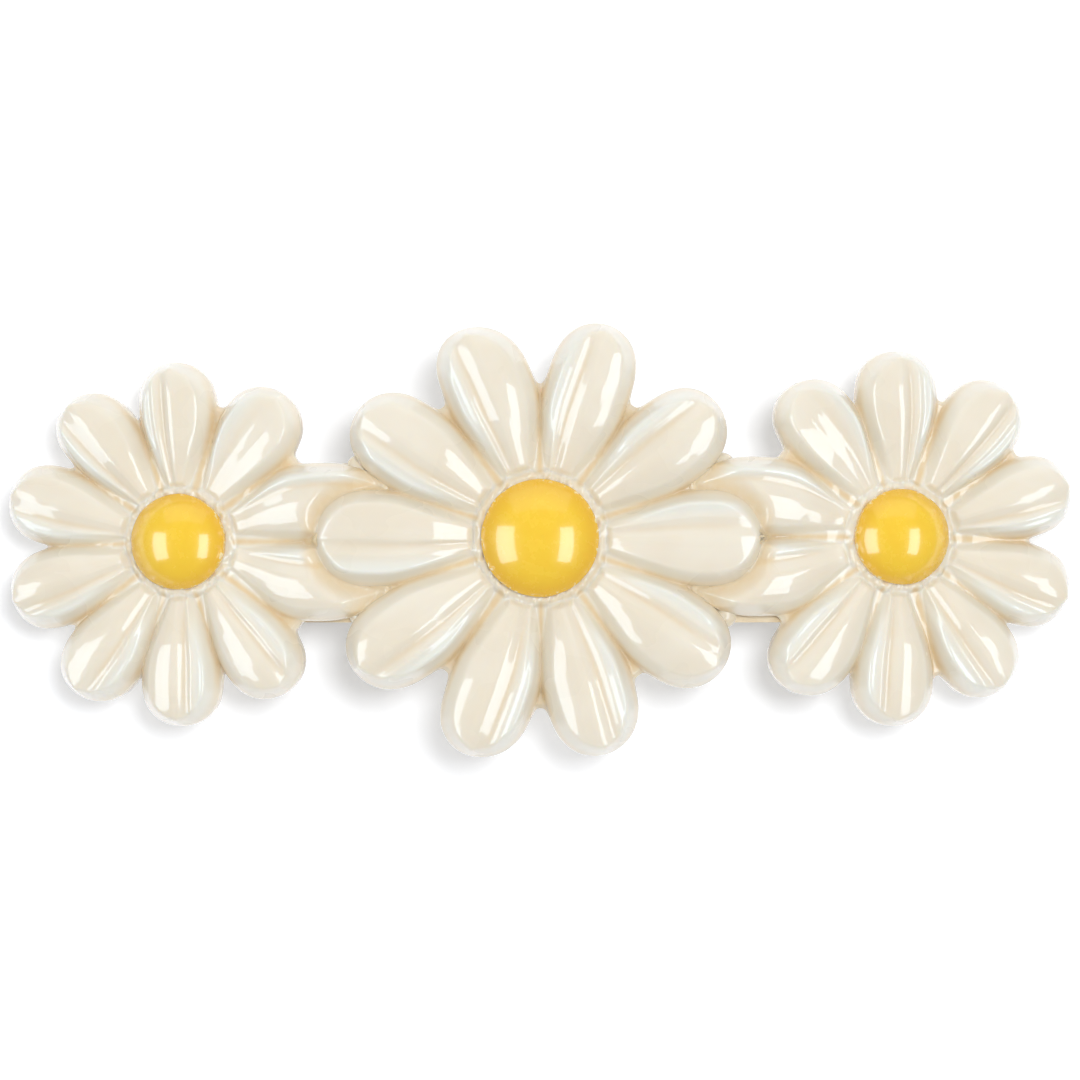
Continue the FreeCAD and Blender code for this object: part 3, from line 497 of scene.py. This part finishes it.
def colour_masks(own, radii, outline, style):
    """Painted tan shade in seams, creases and low places, painted sheen on ridges, painted highlight
    along rims.
    """
    seam = smooth_step(SEAM_WIDTH, 0.0, own["inside"]) * smooth_step(*SEAM_ENDS, radii / outline)
    ring = smooth_step(*COLLAR_PALE, radii - style["dome_radius"])
    low = smooth_step(*LOW_DEPTH, own["depth"])
    # tan painted shade, strongest in the seams, fading near the collar
    tan = SEAM_SHADE * seam * (1 - ring) + CREASE_SHADE * own["groove"] + LOW_SHADE * low
    return {
        "painted_shade": np.clip(tan, 0, 1),
        "ridge": own["ridge"],
        "rim_highlight": smooth_step(1.0, 0.0, np.abs(own["inside"] - RIM_HIGHLIGHT_INSET)),
    }


def daisy_surface(style):
    """The daisy's top as a polar grid: x, y, height and colour masks, each (rows, columns)."""
    turns, outline, web = outline_radius(style)
    inner = style["dome_radius"] - COLLAR_OVERLAP
    spread = 1 - (1 - np.linspace(0.0, 1.0, TOP_ROWS)) ** ROW_CROWDING
    radii = inner + (outline - inner) * spread[:, None]
    x = radii * np.cos(turns)
    y = radii * np.sin(turns)

    petals = []
    for number, petal in enumerate(style["petals"], start=style["seed"]):
        petals.append(petal_surface(x, y, petal, style, number))
    heights = [petal["height"] for petal in petals]
    highest = np.argmax(np.stack(heights), axis=0)[None]
    own = {}
    for key in petals[0]:
        layers = np.stack([petal[key] for petal in petals])
        own[key] = np.take_along_axis(layers, highest, axis=0)[0]

    between = [web_surface(x, y, outline, web, style), collar_surface(x, y, style)]
    top = soft_max(heights + between, SOFTNESS)
    return x, y, top, colour_masks(own, radii, outline, style)


def outside_by(x, y, turns, outline):
    """How far points are outside an outline; negative inside it. Also its radius in their direction."""
    edge_x, edge_y = outline * np.cos(turns), outline * np.sin(turns)
    gap = np.empty_like(x)
    for row in range(x.shape[0]):
        away = np.hypot(x[row][:, None] - edge_x, y[row][:, None] - edge_y)
        gap[row] = away.min(axis=1)
    edge = np.interp(np.mod(np.arctan2(y, x), 2 * math.pi), turns, outline, period=2 * math.pi)
    return np.where(np.hypot(x, y) < edge, -gap, gap), edge


def centre_surface(x, y):
    """Height of the centre daisy over points in the row's plane, and how far they are outside it."""
    _, _, top, _ = daisy_surface(CENTRE)
    turns, outline, _ = outline_radius(CENTRE)
    gap, edge = outside_by(x, y, turns, outline)

    # The points' rows and columns in the polar grid of daisy_surface, with the share in between.
    inner = CENTRE["dome_radius"] - COLLAR_OVERLAP
    outwards = np.clip((np.hypot(x, y) - inner) / (edge - inner), 0.0, 1.0)
    row = (1 - (1 - outwards) ** (1 / ROW_CROWDING)) * (TOP_ROWS - 1)
    row_low = np.minimum(row.astype(int), TOP_ROWS - 2)
    column = np.mod(np.arctan2(y, x), 2 * math.pi) / (2 * math.pi) * COLUMNS
    column_low = column.astype(int) % COLUMNS
    column_high = (column_low + 1) % COLUMNS
    share = column - np.floor(column)
    near = top[row_low, column_low] * (1 - share) + top[row_low, column_high] * share
    far = top[row_low + 1, column_low] * (1 - share) + top[row_low + 1, column_high] * share
    height = near + (far - near) * (row - row_low)
    return np.where(gap > 0, CENTRE["wall"] - OUTER_FALL * gap, height), gap


def under_centre(x, y, top, base_height):
    """Lowers a side daisy where the centre one lies over it and runs it softly into the centre's petals.
    x and y are in the row's plane, measured from the centre daisy; base_height is the height of the
    side daisy's back. Also gives how much a point belongs to the join, where tan painted shadow goes."""
    centre_top, gap = centre_surface(x, y)
    limit = UNDER_LIMIT + UNDER_RISE * np.maximum(gap, 0.0)
    for seam, web in zip(seam_turns(CENTRE), CENTRE["web_reach"]):
        away = np.hypot(x - web * math.cos(seam), y - web * math.sin(seam))
        limit -= NOTCH_DEPTH * bell(away, NOTCH_SIZE)
    step_up = CENTRE_BASE - base_height
    kept = UNDER_RELIEF * (top - UNDER_LEVEL) * smooth_step(0.0, JOIN_REACH, gap)
    lowered = -soft_max([-top, -(limit + step_up + kept)], UNDER_SOFTNESS)
    fillet = FILLET_HEIGHT + step_up - FILLET_SLOPE * np.maximum(gap, 0.0)
    joined = soft_max([lowered, centre_top + step_up, fillet], JOIN_SOFTNESS)
    hidden = HIDE_DROP * smooth_step(*HIDE_BAND, gap) + HIDE_SLOPE * np.maximum(HIDE_BAND[1] - gap, 0.0)
    return np.maximum(joined - hidden, LEAST_THICKNESS), smooth_step(JOIN_REACH, 0.0, gap)


def grid_faces(rows, columns):
    """Quads between consecutive rows of a closed ring of columns, facing up where rows go outwards."""
    index = np.arange(rows * columns).reshape(rows, columns)
    right = np.roll(index, -1, axis=1)
    quads = np.stack([index[1:], right[1:], right[:-1], index[:-1]], axis=-1)
    return quads.reshape(-1, 4)


def row_points(row, columns):
    """Numbers of the points in one row of such a grid."""
    return list(range(row * columns, (row + 1) * columns))


def mesh_object(name, points, quads, fans=(), masks=None):
    """A smooth-shaded mesh of quads plus triangle fans, each fan a (centre, ring, turned over)."""
    faces = [tuple(int(i) for i in quad) for quad in quads]
    for centre, ring, flipped in fans:
        around = list(ring) + [ring[0]]
        for a, b in zip(around, around[1:]):
            faces.append((centre, b, a) if flipped else (centre, a, b))
    mesh = bpy.data.meshes.new(name)
    mesh.from_pydata([tuple(p) for p in points], [], faces)
    mesh.update()
    for key, values in (masks or {}).items():
        layer = mesh.attributes.new(key, "FLOAT", "POINT")
        layer.data.foreach_set("value", np.asarray(values, dtype=np.float32))
    mesh.polygons.foreach_set("use_smooth", [True] * len(mesh.polygons))
    piece = bpy.data.objects.new(name, mesh)
    bpy.context.scene.collection.objects.link(piece)
    return piece


def closed_ring_body(name, place, x, y, top, masks):
    """Closes a polar height field into a solid: outer wall, flat back, socket wall and floor."""
    rings = [(x[0], y[0], np.full(COLUMNS, SOCKET_FLOOR))]
    rings += zip(x, y, top)
    radius = np.hypot(x[-1], y[-1])
    for share, inset in WALL_RINGS:
        shrink = 1 - inset / radius
        rings.append((x[-1] * shrink, y[-1] * shrink, top[-1] * share))
    points = np.concatenate([np.stack(ring, axis=1) for ring in rings])
    socket, back = len(points), len(points) + 1
    points = np.concatenate([points, [[0, 0, SOCKET_FLOOR], [0, 0, 0]]])
    quads = grid_faces(len(rings), COLUMNS)
    fans = [(socket, row_points(0, COLUMNS), False), (back, row_points(len(rings) - 1, COLUMNS), True)]
    full = {}
    for key, values in masks.items():
        below = np.repeat(values[-1:], len(WALL_RINGS), axis=0)
        # the wall under the edge gets at least a set share of tan painted shade
        if key == "painted_shade":
            below = np.maximum(below, WALL_SHADE)
        rows = np.concatenate([values[:1], values, below])
        full[key] = np.concatenate([rows.ravel(), [0.0, 0.0]])
    world = [place @ Vector(p * MM) for p in points]
    return mesh_object(name, world, quads, fans, full)


def flat_place(dome, side, base):
    """Where a daisy's flat back sits: under its dome, at a height in millimetres, and sloped to its
    side. The side domes' boxes are off the flats' middles by the slope, so SIDE_X gives those."""
    low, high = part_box(dome)
    middle = (Vector(low) + Vector(high)) / 2
    x = side * SIDE_X * MM if side else middle.x
    slope = Matrix.Rotation(side * SIDE_TILT, 4, "Y")
    return Matrix.Translation((x, middle.y, base * MM)) @ slope


# ---------------------------------------------------------------- materials


def set_inputs(made, values):
    """Sets the named inputs of a shader node."""
    for name, value in values.items():
        made.inputs[name].default_value = value


def new_material(name, inputs):
    material = bpy.data.materials.new(name)
    material.use_nodes = True
    tree = material.node_tree
    shader = tree.nodes["Principled BSDF"]
    set_inputs(shader, inputs)
    return material, tree, shader


def object_space(tree, stretch=(1.0, 1.0, 1.0)):
    """Places in the piece's own space, in metres, for patterns; under 1 draws them out along an axis."""
    place = tree.nodes.new("ShaderNodeTexCoord")
    mapping = tree.nodes.new("ShaderNodeMapping")
    set_inputs(mapping, {"Scale": stretch})
    tree.links.new(place.outputs["Object"], mapping.inputs["Vector"])
    return mapping.outputs["Vector"]


def noise(tree, vector, scale, detail, rough=0.5, distortion=0.0):
    made = tree.nodes.new("ShaderNodeTexNoise")
    set_inputs(made, {"Scale": scale, "Detail": detail, "Roughness": rough, "Distortion": distortion})
    tree.links.new(vector, made.inputs["Vector"])
    return made.outputs["Fac"]


def remap(tree, value, low, high, to_low=0.0, to_high=1.0):
    """A value carried over, and clamped, from the range low to high to another range."""
    made = tree.nodes.new("ShaderNodeMapRange")
    set_inputs(made, {"From Min": low, "From Max": high, "To Min": to_low, "To Max": to_high})
    tree.links.new(value, made.inputs["Value"])
    return made.outputs["Result"]


def maths(tree, operation, a, b):
    made = tree.nodes.new("ShaderNodeMath")
    made.operation = operation
    for socket, value in zip(made.inputs, (a, b)):
        if isinstance(value, (int, float)):
            socket.default_value = value
        else:
            tree.links.new(value, socket)
    return made.outputs["Value"]


def blend_colour(tree, factor, first, second):
    made = tree.nodes.new("ShaderNodeMix")
    made.data_type = "RGBA"
    tree.links.new(factor, made.inputs["Factor"])
    for socket, value in ((made.inputs["A"], first), (made.inputs["B"], second)):
        if isinstance(value, tuple):
            socket.default_value = (*value, 1.0)
        else:
            tree.links.new(value, socket)
    return made.outputs["Result"]


def attribute(tree, name):
    """One of the masks stored on the mesh."""
    made = tree.nodes.new("ShaderNodeAttribute")
    made.attribute_name = name
    return made.outputs["Fac"]


def bump(tree, shader, height, distance, strength):
    """Fine relief from a pattern; distance is its height in metres."""
    made = tree.nodes.new("ShaderNodeBump")
    set_inputs(made, {"Distance": distance, "Strength": strength})
    tree.links.new(height, made.inputs["Height"])
    tree.links.new(made.outputs["Normal"], shader.inputs["Normal"])


def pearl_resin():
    """Ivory resin, cream on the lobes, under a clear gloss, with a pearly sheen painted as bluish white
    on the ridges, a painted highlight along the rims and tan painted shade in the seams, creases and low
    places."""
    gloss = {"Specular IOR Level": 0.22, "Coat Weight": 1.0, "Coat Roughness": 0.035}
    material, tree, shader = new_material("pearl_resin", gloss)
    glow = {"Subsurface Weight": 0.25, "Subsurface Radius": (1.0, 0.75, 0.45), "Subsurface Scale": 0.001}
    set_inputs(shader, glow)
    cream, ivory = (0.80, 0.73, 0.60), (0.825, 0.77, 0.655)
    # Painted light and shade: a bluish white sheen for the ridges, a highlight for the rims and tan
    # shade.
    sheen_blue_white, light, tan = (0.79, 0.81, 0.765), (0.83, 0.825, 0.75), (0.77, 0.61, 0.38)
    vector = object_space(tree)
    swirl = noise(tree, vector, scale=170, detail=2, distortion=0.3)
    fine = noise(tree, vector, scale=1500, detail=2)
    colour = blend_colour(tree, remap(tree, swirl, 0.35, 0.65), cream, ivory)
    # painted sheen on the ridges
    ridge = maths(tree, "MULTIPLY", attribute(tree, "ridge"), 0.75)
    colour = blend_colour(tree, ridge, colour, sheen_blue_white)
    # painted highlight along the rims
    rim = maths(tree, "MULTIPLY", attribute(tree, "rim_highlight"), 0.3)
    colour = blend_colour(tree, rim, colour, light)
    # tan painted shade in the seams, creases and low places, a little uneven
    uneven = remap(tree, fine, 0.3, 0.7, to_low=0.8, to_high=1.1)
    painted_shade = maths(tree, "MULTIPLY", attribute(tree, "painted_shade"), uneven)
    colour = blend_colour(tree, painted_shade, colour, tan)
    tree.links.new(colour, shader.inputs["Base Color"])
    roughness = remap(tree, swirl, 0.3, 0.7, to_low=0.24, to_high=0.34)
    tree.links.new(roughness, shader.inputs["Roughness"])
    bump(tree, shader, fine, distance=0.01 * MM, strength=0.35)
    return material


def yellow_enamel():
    """Glossy yellow, faintly mottled, with painted shade deepening it towards the rim, and pale specks
    where it meets the collar.
    """
    material, tree, shader = new_material("yellow_enamel", {"Coat Weight": 1.0, "Coat Roughness": 0.03})
    glow = {"Subsurface Weight": 0.1, "Subsurface Radius": (1.0, 0.6, 0.2), "Subsurface Scale": 0.0006}
    set_inputs(shader, glow)
    yellow, lighter = (0.91, 0.585, 0.024), (0.93, 0.61, 0.030)
    rim_shade, pale = (0.86, 0.50, 0.02), (0.90, 0.78, 0.42)
    vector = object_space(tree)
    mottle = noise(tree, vector, scale=900, detail=3, rough=0.6)
    speck = noise(tree, vector, scale=2600, detail=1)
    colour = blend_colour(tree, remap(tree, mottle, 0.35, 0.65), yellow, lighter)
    # painted shade: a deeper yellow towards the cap's edge
    colour = blend_colour(tree, attribute(tree, "rim"), colour, rim_shade)
    specks = maths(tree, "MULTIPLY", remap(tree, speck, 0.58, 0.66), attribute(tree, "edge"))
    colour = blend_colour(tree, specks, colour, pale)
    tree.links.new(colour, shader.inputs["Base Color"])
    roughness = remap(tree, mottle, 0.3, 0.7, to_low=0.22, to_high=0.3)
    tree.links.new(roughness, shader.inputs["Roughness"])
    bump(tree, shader, mottle, distance=0.01 * MM, strength=0.3)
    return material


def cream_resin():
    """The backing bar's resin: a shade darker than the daisies, with small pits and drips."""
    material, tree, shader = new_material("cream_resin", {"Coat Weight": 0.7, "Coat Roughness": 0.08})
    vector = object_space(tree)
    cloud = noise(tree, vector, scale=300, detail=4, rough=0.6, distortion=0.6)
    grain = noise(tree, vector, scale=1800, detail=3, rough=0.6)
    dark, light = (0.70, 0.56, 0.36), (0.82, 0.72, 0.54)
    colour = blend_colour(tree, remap(tree, cloud, 0.3, 0.7), dark, light)
    tree.links.new(colour, shader.inputs["Base Color"])
    roughness = remap(tree, grain, 0.3, 0.7, to_low=0.25, to_high=0.42)
    tree.links.new(roughness, shader.inputs["Roughness"])
    bump(tree, shader, grain, distance=0.03 * MM, strength=0.5)
    return material


def adhesive():
    """Set glue: cloudy, yellowish, with trapped bubbles."""
    glow = {"Subsurface Weight": 0.3, "Subsurface Radius": (1.0, 0.9, 0.7), "Subsurface Scale": 0.0008}
    material, tree, shader = new_material("adhesive", glow)
    vector = object_space(tree)
    cloud = noise(tree, vector, scale=700, detail=4, rough=0.6)
    bubbles = noise(tree, vector, scale=2400, detail=1)
    dull, clear = (0.70, 0.66, 0.52), (0.84, 0.81, 0.70)
    colour = blend_colour(tree, remap(tree, cloud, 0.3, 0.7), dull, clear)
    tree.links.new(colour, shader.inputs["Base Color"])
    roughness = remap(tree, cloud, 0.3, 0.7, to_low=0.2, to_high=0.4)
    tree.links.new(roughness, shader.inputs["Roughness"])
    bump(tree, shader, bubbles, distance=0.05 * MM, strength=0.6)
    return material


def plated_steel(name, tint, grain_axis, roughness):
    """Nickel-plated sheet: rolling grain along one axis, faint scratches and dull patches."""
    material, tree, shader = new_material(name, {"Metallic": 1.0})
    stretch = [1.0, 1.0, 1.0]
    stretch[grain_axis] = 0.03
    grain = noise(tree, object_space(tree, stretch), scale=9000, detail=3, rough=0.6)
    patch = noise(tree, object_space(tree), scale=220, detail=4, rough=0.6, distortion=0.5)
    dull = tuple(0.78 * c for c in tint)
    colour = blend_colour(tree, remap(tree, patch, 0.35, 0.7), tint, dull)
    tree.links.new(colour, shader.inputs["Base Color"])
    uneven = remap(tree, patch, 0.3, 0.7, to_low=roughness - 0.05, to_high=roughness + 0.09)
    streaks = remap(tree, grain, 0.3, 0.7, to_low=-0.05, to_high=0.05)
    tree.links.new(maths(tree, "ADD", uneven, streaks), shader.inputs["Roughness"])
    bump(tree, shader, grain, distance=0.012 * MM, strength=0.35)
    return material


def white_table():
    """Matt white, lit a little from inside so that it stays white round the object."""
    material, tree, shader = new_material("white_table", {"Roughness": 0.9, "Specular IOR Level": 0.1})
    set_inputs(shader, {"Emission Color": (1, 1, 1, 1), "Emission Strength": 0.22})
    soft = noise(tree, object_space(tree), scale=40, detail=2)
    grey, white = (0.89, 0.91, 0.95), (0.91, 0.93, 0.97)
    colour = blend_colour(tree, remap(tree, soft, 0.3, 0.7), grey, white)
    tree.links.new(colour, shader.inputs["Base Color"])
    return material


# ---------------------------------------------------------------- pieces


def build_daisy(name, style, place, resin):
    """A daisy that lies over its neighbours: the centre one."""
    x, y, top, masks = daisy_surface(style)
    piece = closed_ring_body(name + "_petals", place, x, y, top, masks)
    finish_petals(piece, name, resin)


def build_side_daisy(name, style, side, place, resin):
    """A daisy at one end, side -1 or 1, which runs in under the centre one."""
    x, y, top, masks = daisy_surface(style)
    back = SIDE_BASE - side * x * math.sin(SIDE_TILT)
    likely = np.minimum(top, LIKELY_HEIGHT + CENTRE_BASE - back)
    row_x = x * math.cos(SIDE_TILT) + side * likely * math.sin(SIDE_TILT) + side * SIDE_X
    row_y = y + place.translation.y / MM
    top, join = under_centre(row_x, row_y, top, back)
    # tan painted shadow where the centre daisy lies over this one, and no painted sheen there
    masks["painted_shade"] = np.clip(masks["painted_shade"] + JOIN_SHADOW * join, 0, 1)
    masks["ridge"] = masks["ridge"] * (1 - join)
    piece = closed_ring_body(name + "_petals", place, x, y, top, masks)
    finish_petals(piece, name, resin)


def finish_petals(piece, name, resin):
    piece.data.materials.append(resin)
    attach(piece, "barrette")
    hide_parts(name)


def build_dome(name, style, place, enamel):
    """A spherical cap over a short wall, its rim slightly uneven, closed underneath."""
    edge, sphere, rim = style["dome_edge"], style["dome_sphere"], style["dome_radius"]
    turns = np.arange(DOME_COLUMNS) * 2 * math.pi / DOME_COLUMNS
    circle_x, circle_y = np.cos(turns) * DOME_RIPPLE_RADIUS, np.sin(turns) * DOME_RIPPLE_RADIUS
    wobble = 1 + DOME_WOBBLE * ripples(circle_x, circle_y, style["dome_seed"], DOME_WAVELENGTH)
    widest = math.asin(rim / sphere)
    drop = sphere * math.cos(widest)
    rows = []
    for share in np.linspace(0.02, 1.0, DOME_ROWS):
        tilt = widest * share
        radius = sphere * math.sin(tilt) * (1 + (wobble - 1) * share**4)
        rows.append((radius, edge + sphere * math.cos(tilt) - drop, share))
    for spread, lower in DOME_WALL:
        rows.append((rim * spread * wobble, edge - lower, 1.0))
    rows.append((rim * DOME_WALL[-1][0] * wobble, DOME_UNDERSIDE, 1.0))
    points, shares = [], []
    for radius, z, share in rows:
        points += [(r * math.cos(a), r * math.sin(a), z) for r, a in zip(radius, turns)]
        shares += [share] * DOME_COLUMNS
    apex, base = len(points), len(points) + 1
    points += [(0, 0, edge + sphere - drop), (0, 0, DOME_UNDERSIDE)]
    shares = np.array(shares + [0.0, 1.0])
    last_row = row_points(len(rows) - 1, DOME_COLUMNS)
    fans = [(apex, row_points(0, DOME_COLUMNS), False), (base, last_row, True)]
    # rim carries the painted shade towards the cap's edge; edge places the pale specks
    masks = {"rim": smooth_step(0.55, 1.0, shares), "edge": smooth_step(0.93, 0.985, shares)}
    world = [place @ (Vector(p) * MM) for p in points]
    piece = mesh_object(name + "_cap", world, grid_faces(len(rows), DOME_COLUMNS), fans, masks)
    piece.data.materials.append(enamel)
    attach(piece, "barrette")
    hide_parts(name)


def build_beads(resin):
    """Small drops of resin where the daisies' castings meet, each a slightly lumpy ball."""
    rows, columns = WAIST_BEAD_ROWS, WAIST_BEAD_COLUMNS
    lean = np.linspace(0.04, math.pi - 0.04, rows)[:, None]
    turns = np.arange(columns)[None, :] * 2 * math.pi / columns
    ball_x = np.sin(lean) * np.cos(turns)
    ball_y = np.sin(lean) * np.sin(turns)
    ball_z = np.cos(lean) + 0 * turns
    top, bottom = rows * columns, rows * columns + 1
    fans = [(top, row_points(0, columns), False), (bottom, row_points(rows - 1, columns), True)]
    for number, (x, y, radius, height) in enumerate(WAIST_BEADS, start=1):
        lumps = 1 + WAIST_BEAD_LUMPS * ripples(ball_x + ball_z, ball_y - ball_z, number, 1.6)
        z = CENTRE_BASE + height
        half = WAIST_BEAD_FLATNESS * radius
        skin = (x + radius * ball_x * lumps, y + radius * ball_y * lumps, z + half * ball_z * lumps)
        points = np.stack([values.ravel() for values in skin], axis=1)
        points = np.concatenate([points, [(x, y, z + half), (x, y, z - half)]]) * MM
        # the whole bead takes an even tan of painted shade
        masks = {"painted_shade": np.full(len(points), WAIST_BEAD_SHADE)}
        piece = mesh_object(f"resin_bead_{number}", points, grid_faces(rows, columns), fans, masks)
        piece.data.materials.append(resin)
        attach(piece, "barrette")


def build_backing(resin):
    """The backing bar's own shape with its edges softened, as a moulded bar's are."""
    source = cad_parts["backing_bar"]
    mesh = source.data.copy()
    piece = bpy.data.objects.new("backing_bar_soft", mesh)
    bpy.context.scene.collection.objects.link(piece)
    mesh.transform(source.matrix_world)
    bevel = piece.modifiers.new("soft_edges", "BEVEL")
    bevel.width = BACKING_EDGE * MM
    bevel.segments = 3
    bevel.limit_method = "ANGLE"
    bevel.angle_limit = math.radians(40)
    mesh.materials.clear()
    mesh.materials.append(resin)
    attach(piece, "barrette")
    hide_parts("backing_bar")


def paint(name, material):
    """Gives a CAD piece that is shown as it is its material."""
    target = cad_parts[name]
    target.data.materials.clear()
    target.data.materials.append(material)


# ---------------------------------------------------------------- stage

# Lights: degrees off the vertical, direction (0 is +X, 90 is +Y), distance, width and height in
# metres, and power. A softbox is two lights: the light it gives, and its bluish reflection.
SOFTBOXES = {"left": (52, 190, (0.26, 0.44), 0.48, 1.6), "right": (40, -14, (0.19, 0.44), 0.4, 1.3)}
SOFTBOX_DISTANCE = 0.56
SHINE_DISTANCE = 0.50
SHINE_COLOUR = (0.72, 0.87, 1.0)
WHITE = (1.0, 1.0, 1.0)
AMBIENT = 0.39

TABLE_HALF = 1.2
FRAME_WIDTH = 87.5 * MM  # what the camera takes in
CAMERA_DISTANCE = 0.6  # over the flowers, which are at FOCUS_HEIGHT
FOCUS_HEIGHT = 13 * MM
FRAME_MIDDLE_Y = -0.16 * MM


def build_table():
    corners = [(x * TABLE_HALF, y * TABLE_HALF, 0) for x, y in ((-1, -1), (1, -1), (1, 1), (-1, 1))]
    mesh = bpy.data.meshes.new("table")
    mesh.from_pydata(corners, [], [(0, 1, 2, 3)])
    mesh.materials.append(white_table())
    table = bpy.data.objects.new("table", mesh)
    bpy.context.scene.collection.objects.link(table)


def area_light(name, polar, azimuth, distance, size, power, glossy=True, diffuse=True, colour=WHITE):
    """A soft light. It can be left out of reflections, or give nothing but its reflection."""
    light = bpy.data.lights.new(name, "AREA")
    light.shape = "RECTANGLE"
    light.size, light.size_y = size
    light.energy = power
    light.color = colour
    lamp = bpy.data.objects.new(name, light)
    p, a = math.radians(polar), math.radians(azimuth)
    aim = Vector((math.sin(p) * math.cos(a), math.sin(p) * math.sin(a), math.cos(p)))
    lamp.location = aim * distance
    back = aim.normalized()
    up = Vector((0, 1, 0)) if abs(back.y) < 0.8 else Vector((0, 0, 1))
    right = up.cross(back).normalized()
    up = back.cross(right)
    lamp.rotation_euler = Matrix((right, up, back)).transposed().to_euler()
    lamp.visible_glossy = glossy
    lamp.visible_diffuse = diffuse
    bpy.context.scene.collection.objects.link(lamp)


def build_lights():
    for side, (polar, azimuth, size, glow, shine) in SOFTBOXES.items():
        area_light(f"softbox_{side}", polar, azimuth, SOFTBOX_DISTANCE, size, glow, glossy=False)
        reflection = {"diffuse": False, "colour": SHINE_COLOUR}
        area_light(f"softbox_{side}_shine", polar, azimuth, SHINE_DISTANCE, size, shine, **reflection)
    area_light("panel_far", 62, 90, 0.60, (0.9, 0.45), 0.7)
    area_light("key_overhead", 9, 42, 0.80, (0.15, 0.15), 3.0, glossy=False)
    world = bpy.data.worlds.new("studio")
    world.use_nodes = True
    set_inputs(world.node_tree.nodes["Background"], {"Color": (1, 1, 1, 1), "Strength": AMBIENT})
    bpy.context.scene.world = world


def build_camera():
    """Straight above, +Y up the frame, far enough off to see the object almost without perspective."""
    camera = bpy.data.cameras.new("camera")
    camera.sensor_width = 36.0
    camera.lens = camera.sensor_width * CAMERA_DISTANCE / FRAME_WIDTH
    camera.clip_start = 0.01
    viewer = bpy.data.objects.new("camera", camera)
    viewer.location = (0.0, FRAME_MIDDLE_Y, CAMERA_DISTANCE + FOCUS_HEIGHT)
    bpy.context.scene.collection.objects.link(viewer)
    bpy.context.scene.camera = viewer


# ---------------------------------------------------------------- assembly

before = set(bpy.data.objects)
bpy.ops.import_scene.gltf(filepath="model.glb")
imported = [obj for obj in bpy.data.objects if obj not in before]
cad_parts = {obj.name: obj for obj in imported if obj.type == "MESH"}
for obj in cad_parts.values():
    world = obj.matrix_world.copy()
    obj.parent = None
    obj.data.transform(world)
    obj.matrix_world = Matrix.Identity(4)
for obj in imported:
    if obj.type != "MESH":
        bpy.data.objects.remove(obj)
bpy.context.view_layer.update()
bpy.context.scene.view_settings.view_transform = "Standard"

CENTRE_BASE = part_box("backing_bar")[1][2] / MM  # top of the backing bar, in millimetres

build_camera()
build_lights()
build_table()

resin = pearl_resin()
enamel = yellow_enamel()
centre_place = flat_place("centre_dome", 0, CENTRE_BASE)
left_place = flat_place("left_dome", -1, SIDE_BASE)
right_place = flat_place("right_dome", 1, SIDE_BASE)
build_daisy("centre_daisy", CENTRE, centre_place, resin)
build_side_daisy("left_daisy", LEFT, -1, left_place, resin)
build_side_daisy("right_daisy", RIGHT, 1, right_place, resin)
build_dome("centre_dome", CENTRE, centre_place, enamel)
build_dome("left_dome", LEFT, left_place, enamel)
build_dome("right_dome", RIGHT, right_place, enamel)
build_backing(cream_resin())
build_beads(resin)

plate = plated_steel("nickel_plate", (0.72, 0.70, 0.67), 0, 0.27)
spring = plated_steel("spring_steel", (0.66, 0.66, 0.67), 0, 0.22)
peened = plated_steel("peened_steel", (0.78, 0.77, 0.74), 2, 0.18)
paint("adhesive_bed", adhesive())
for name in ("back_plate", "clasp_arm"):
    paint(name, plate)
for name in ("tension_bar", "catch_base", "front_catch_leg", "rear_catch_leg"):
    paint(name, spring)
for name in ("hinge_pin", "catch_rivet"):
    paint(name, peened)
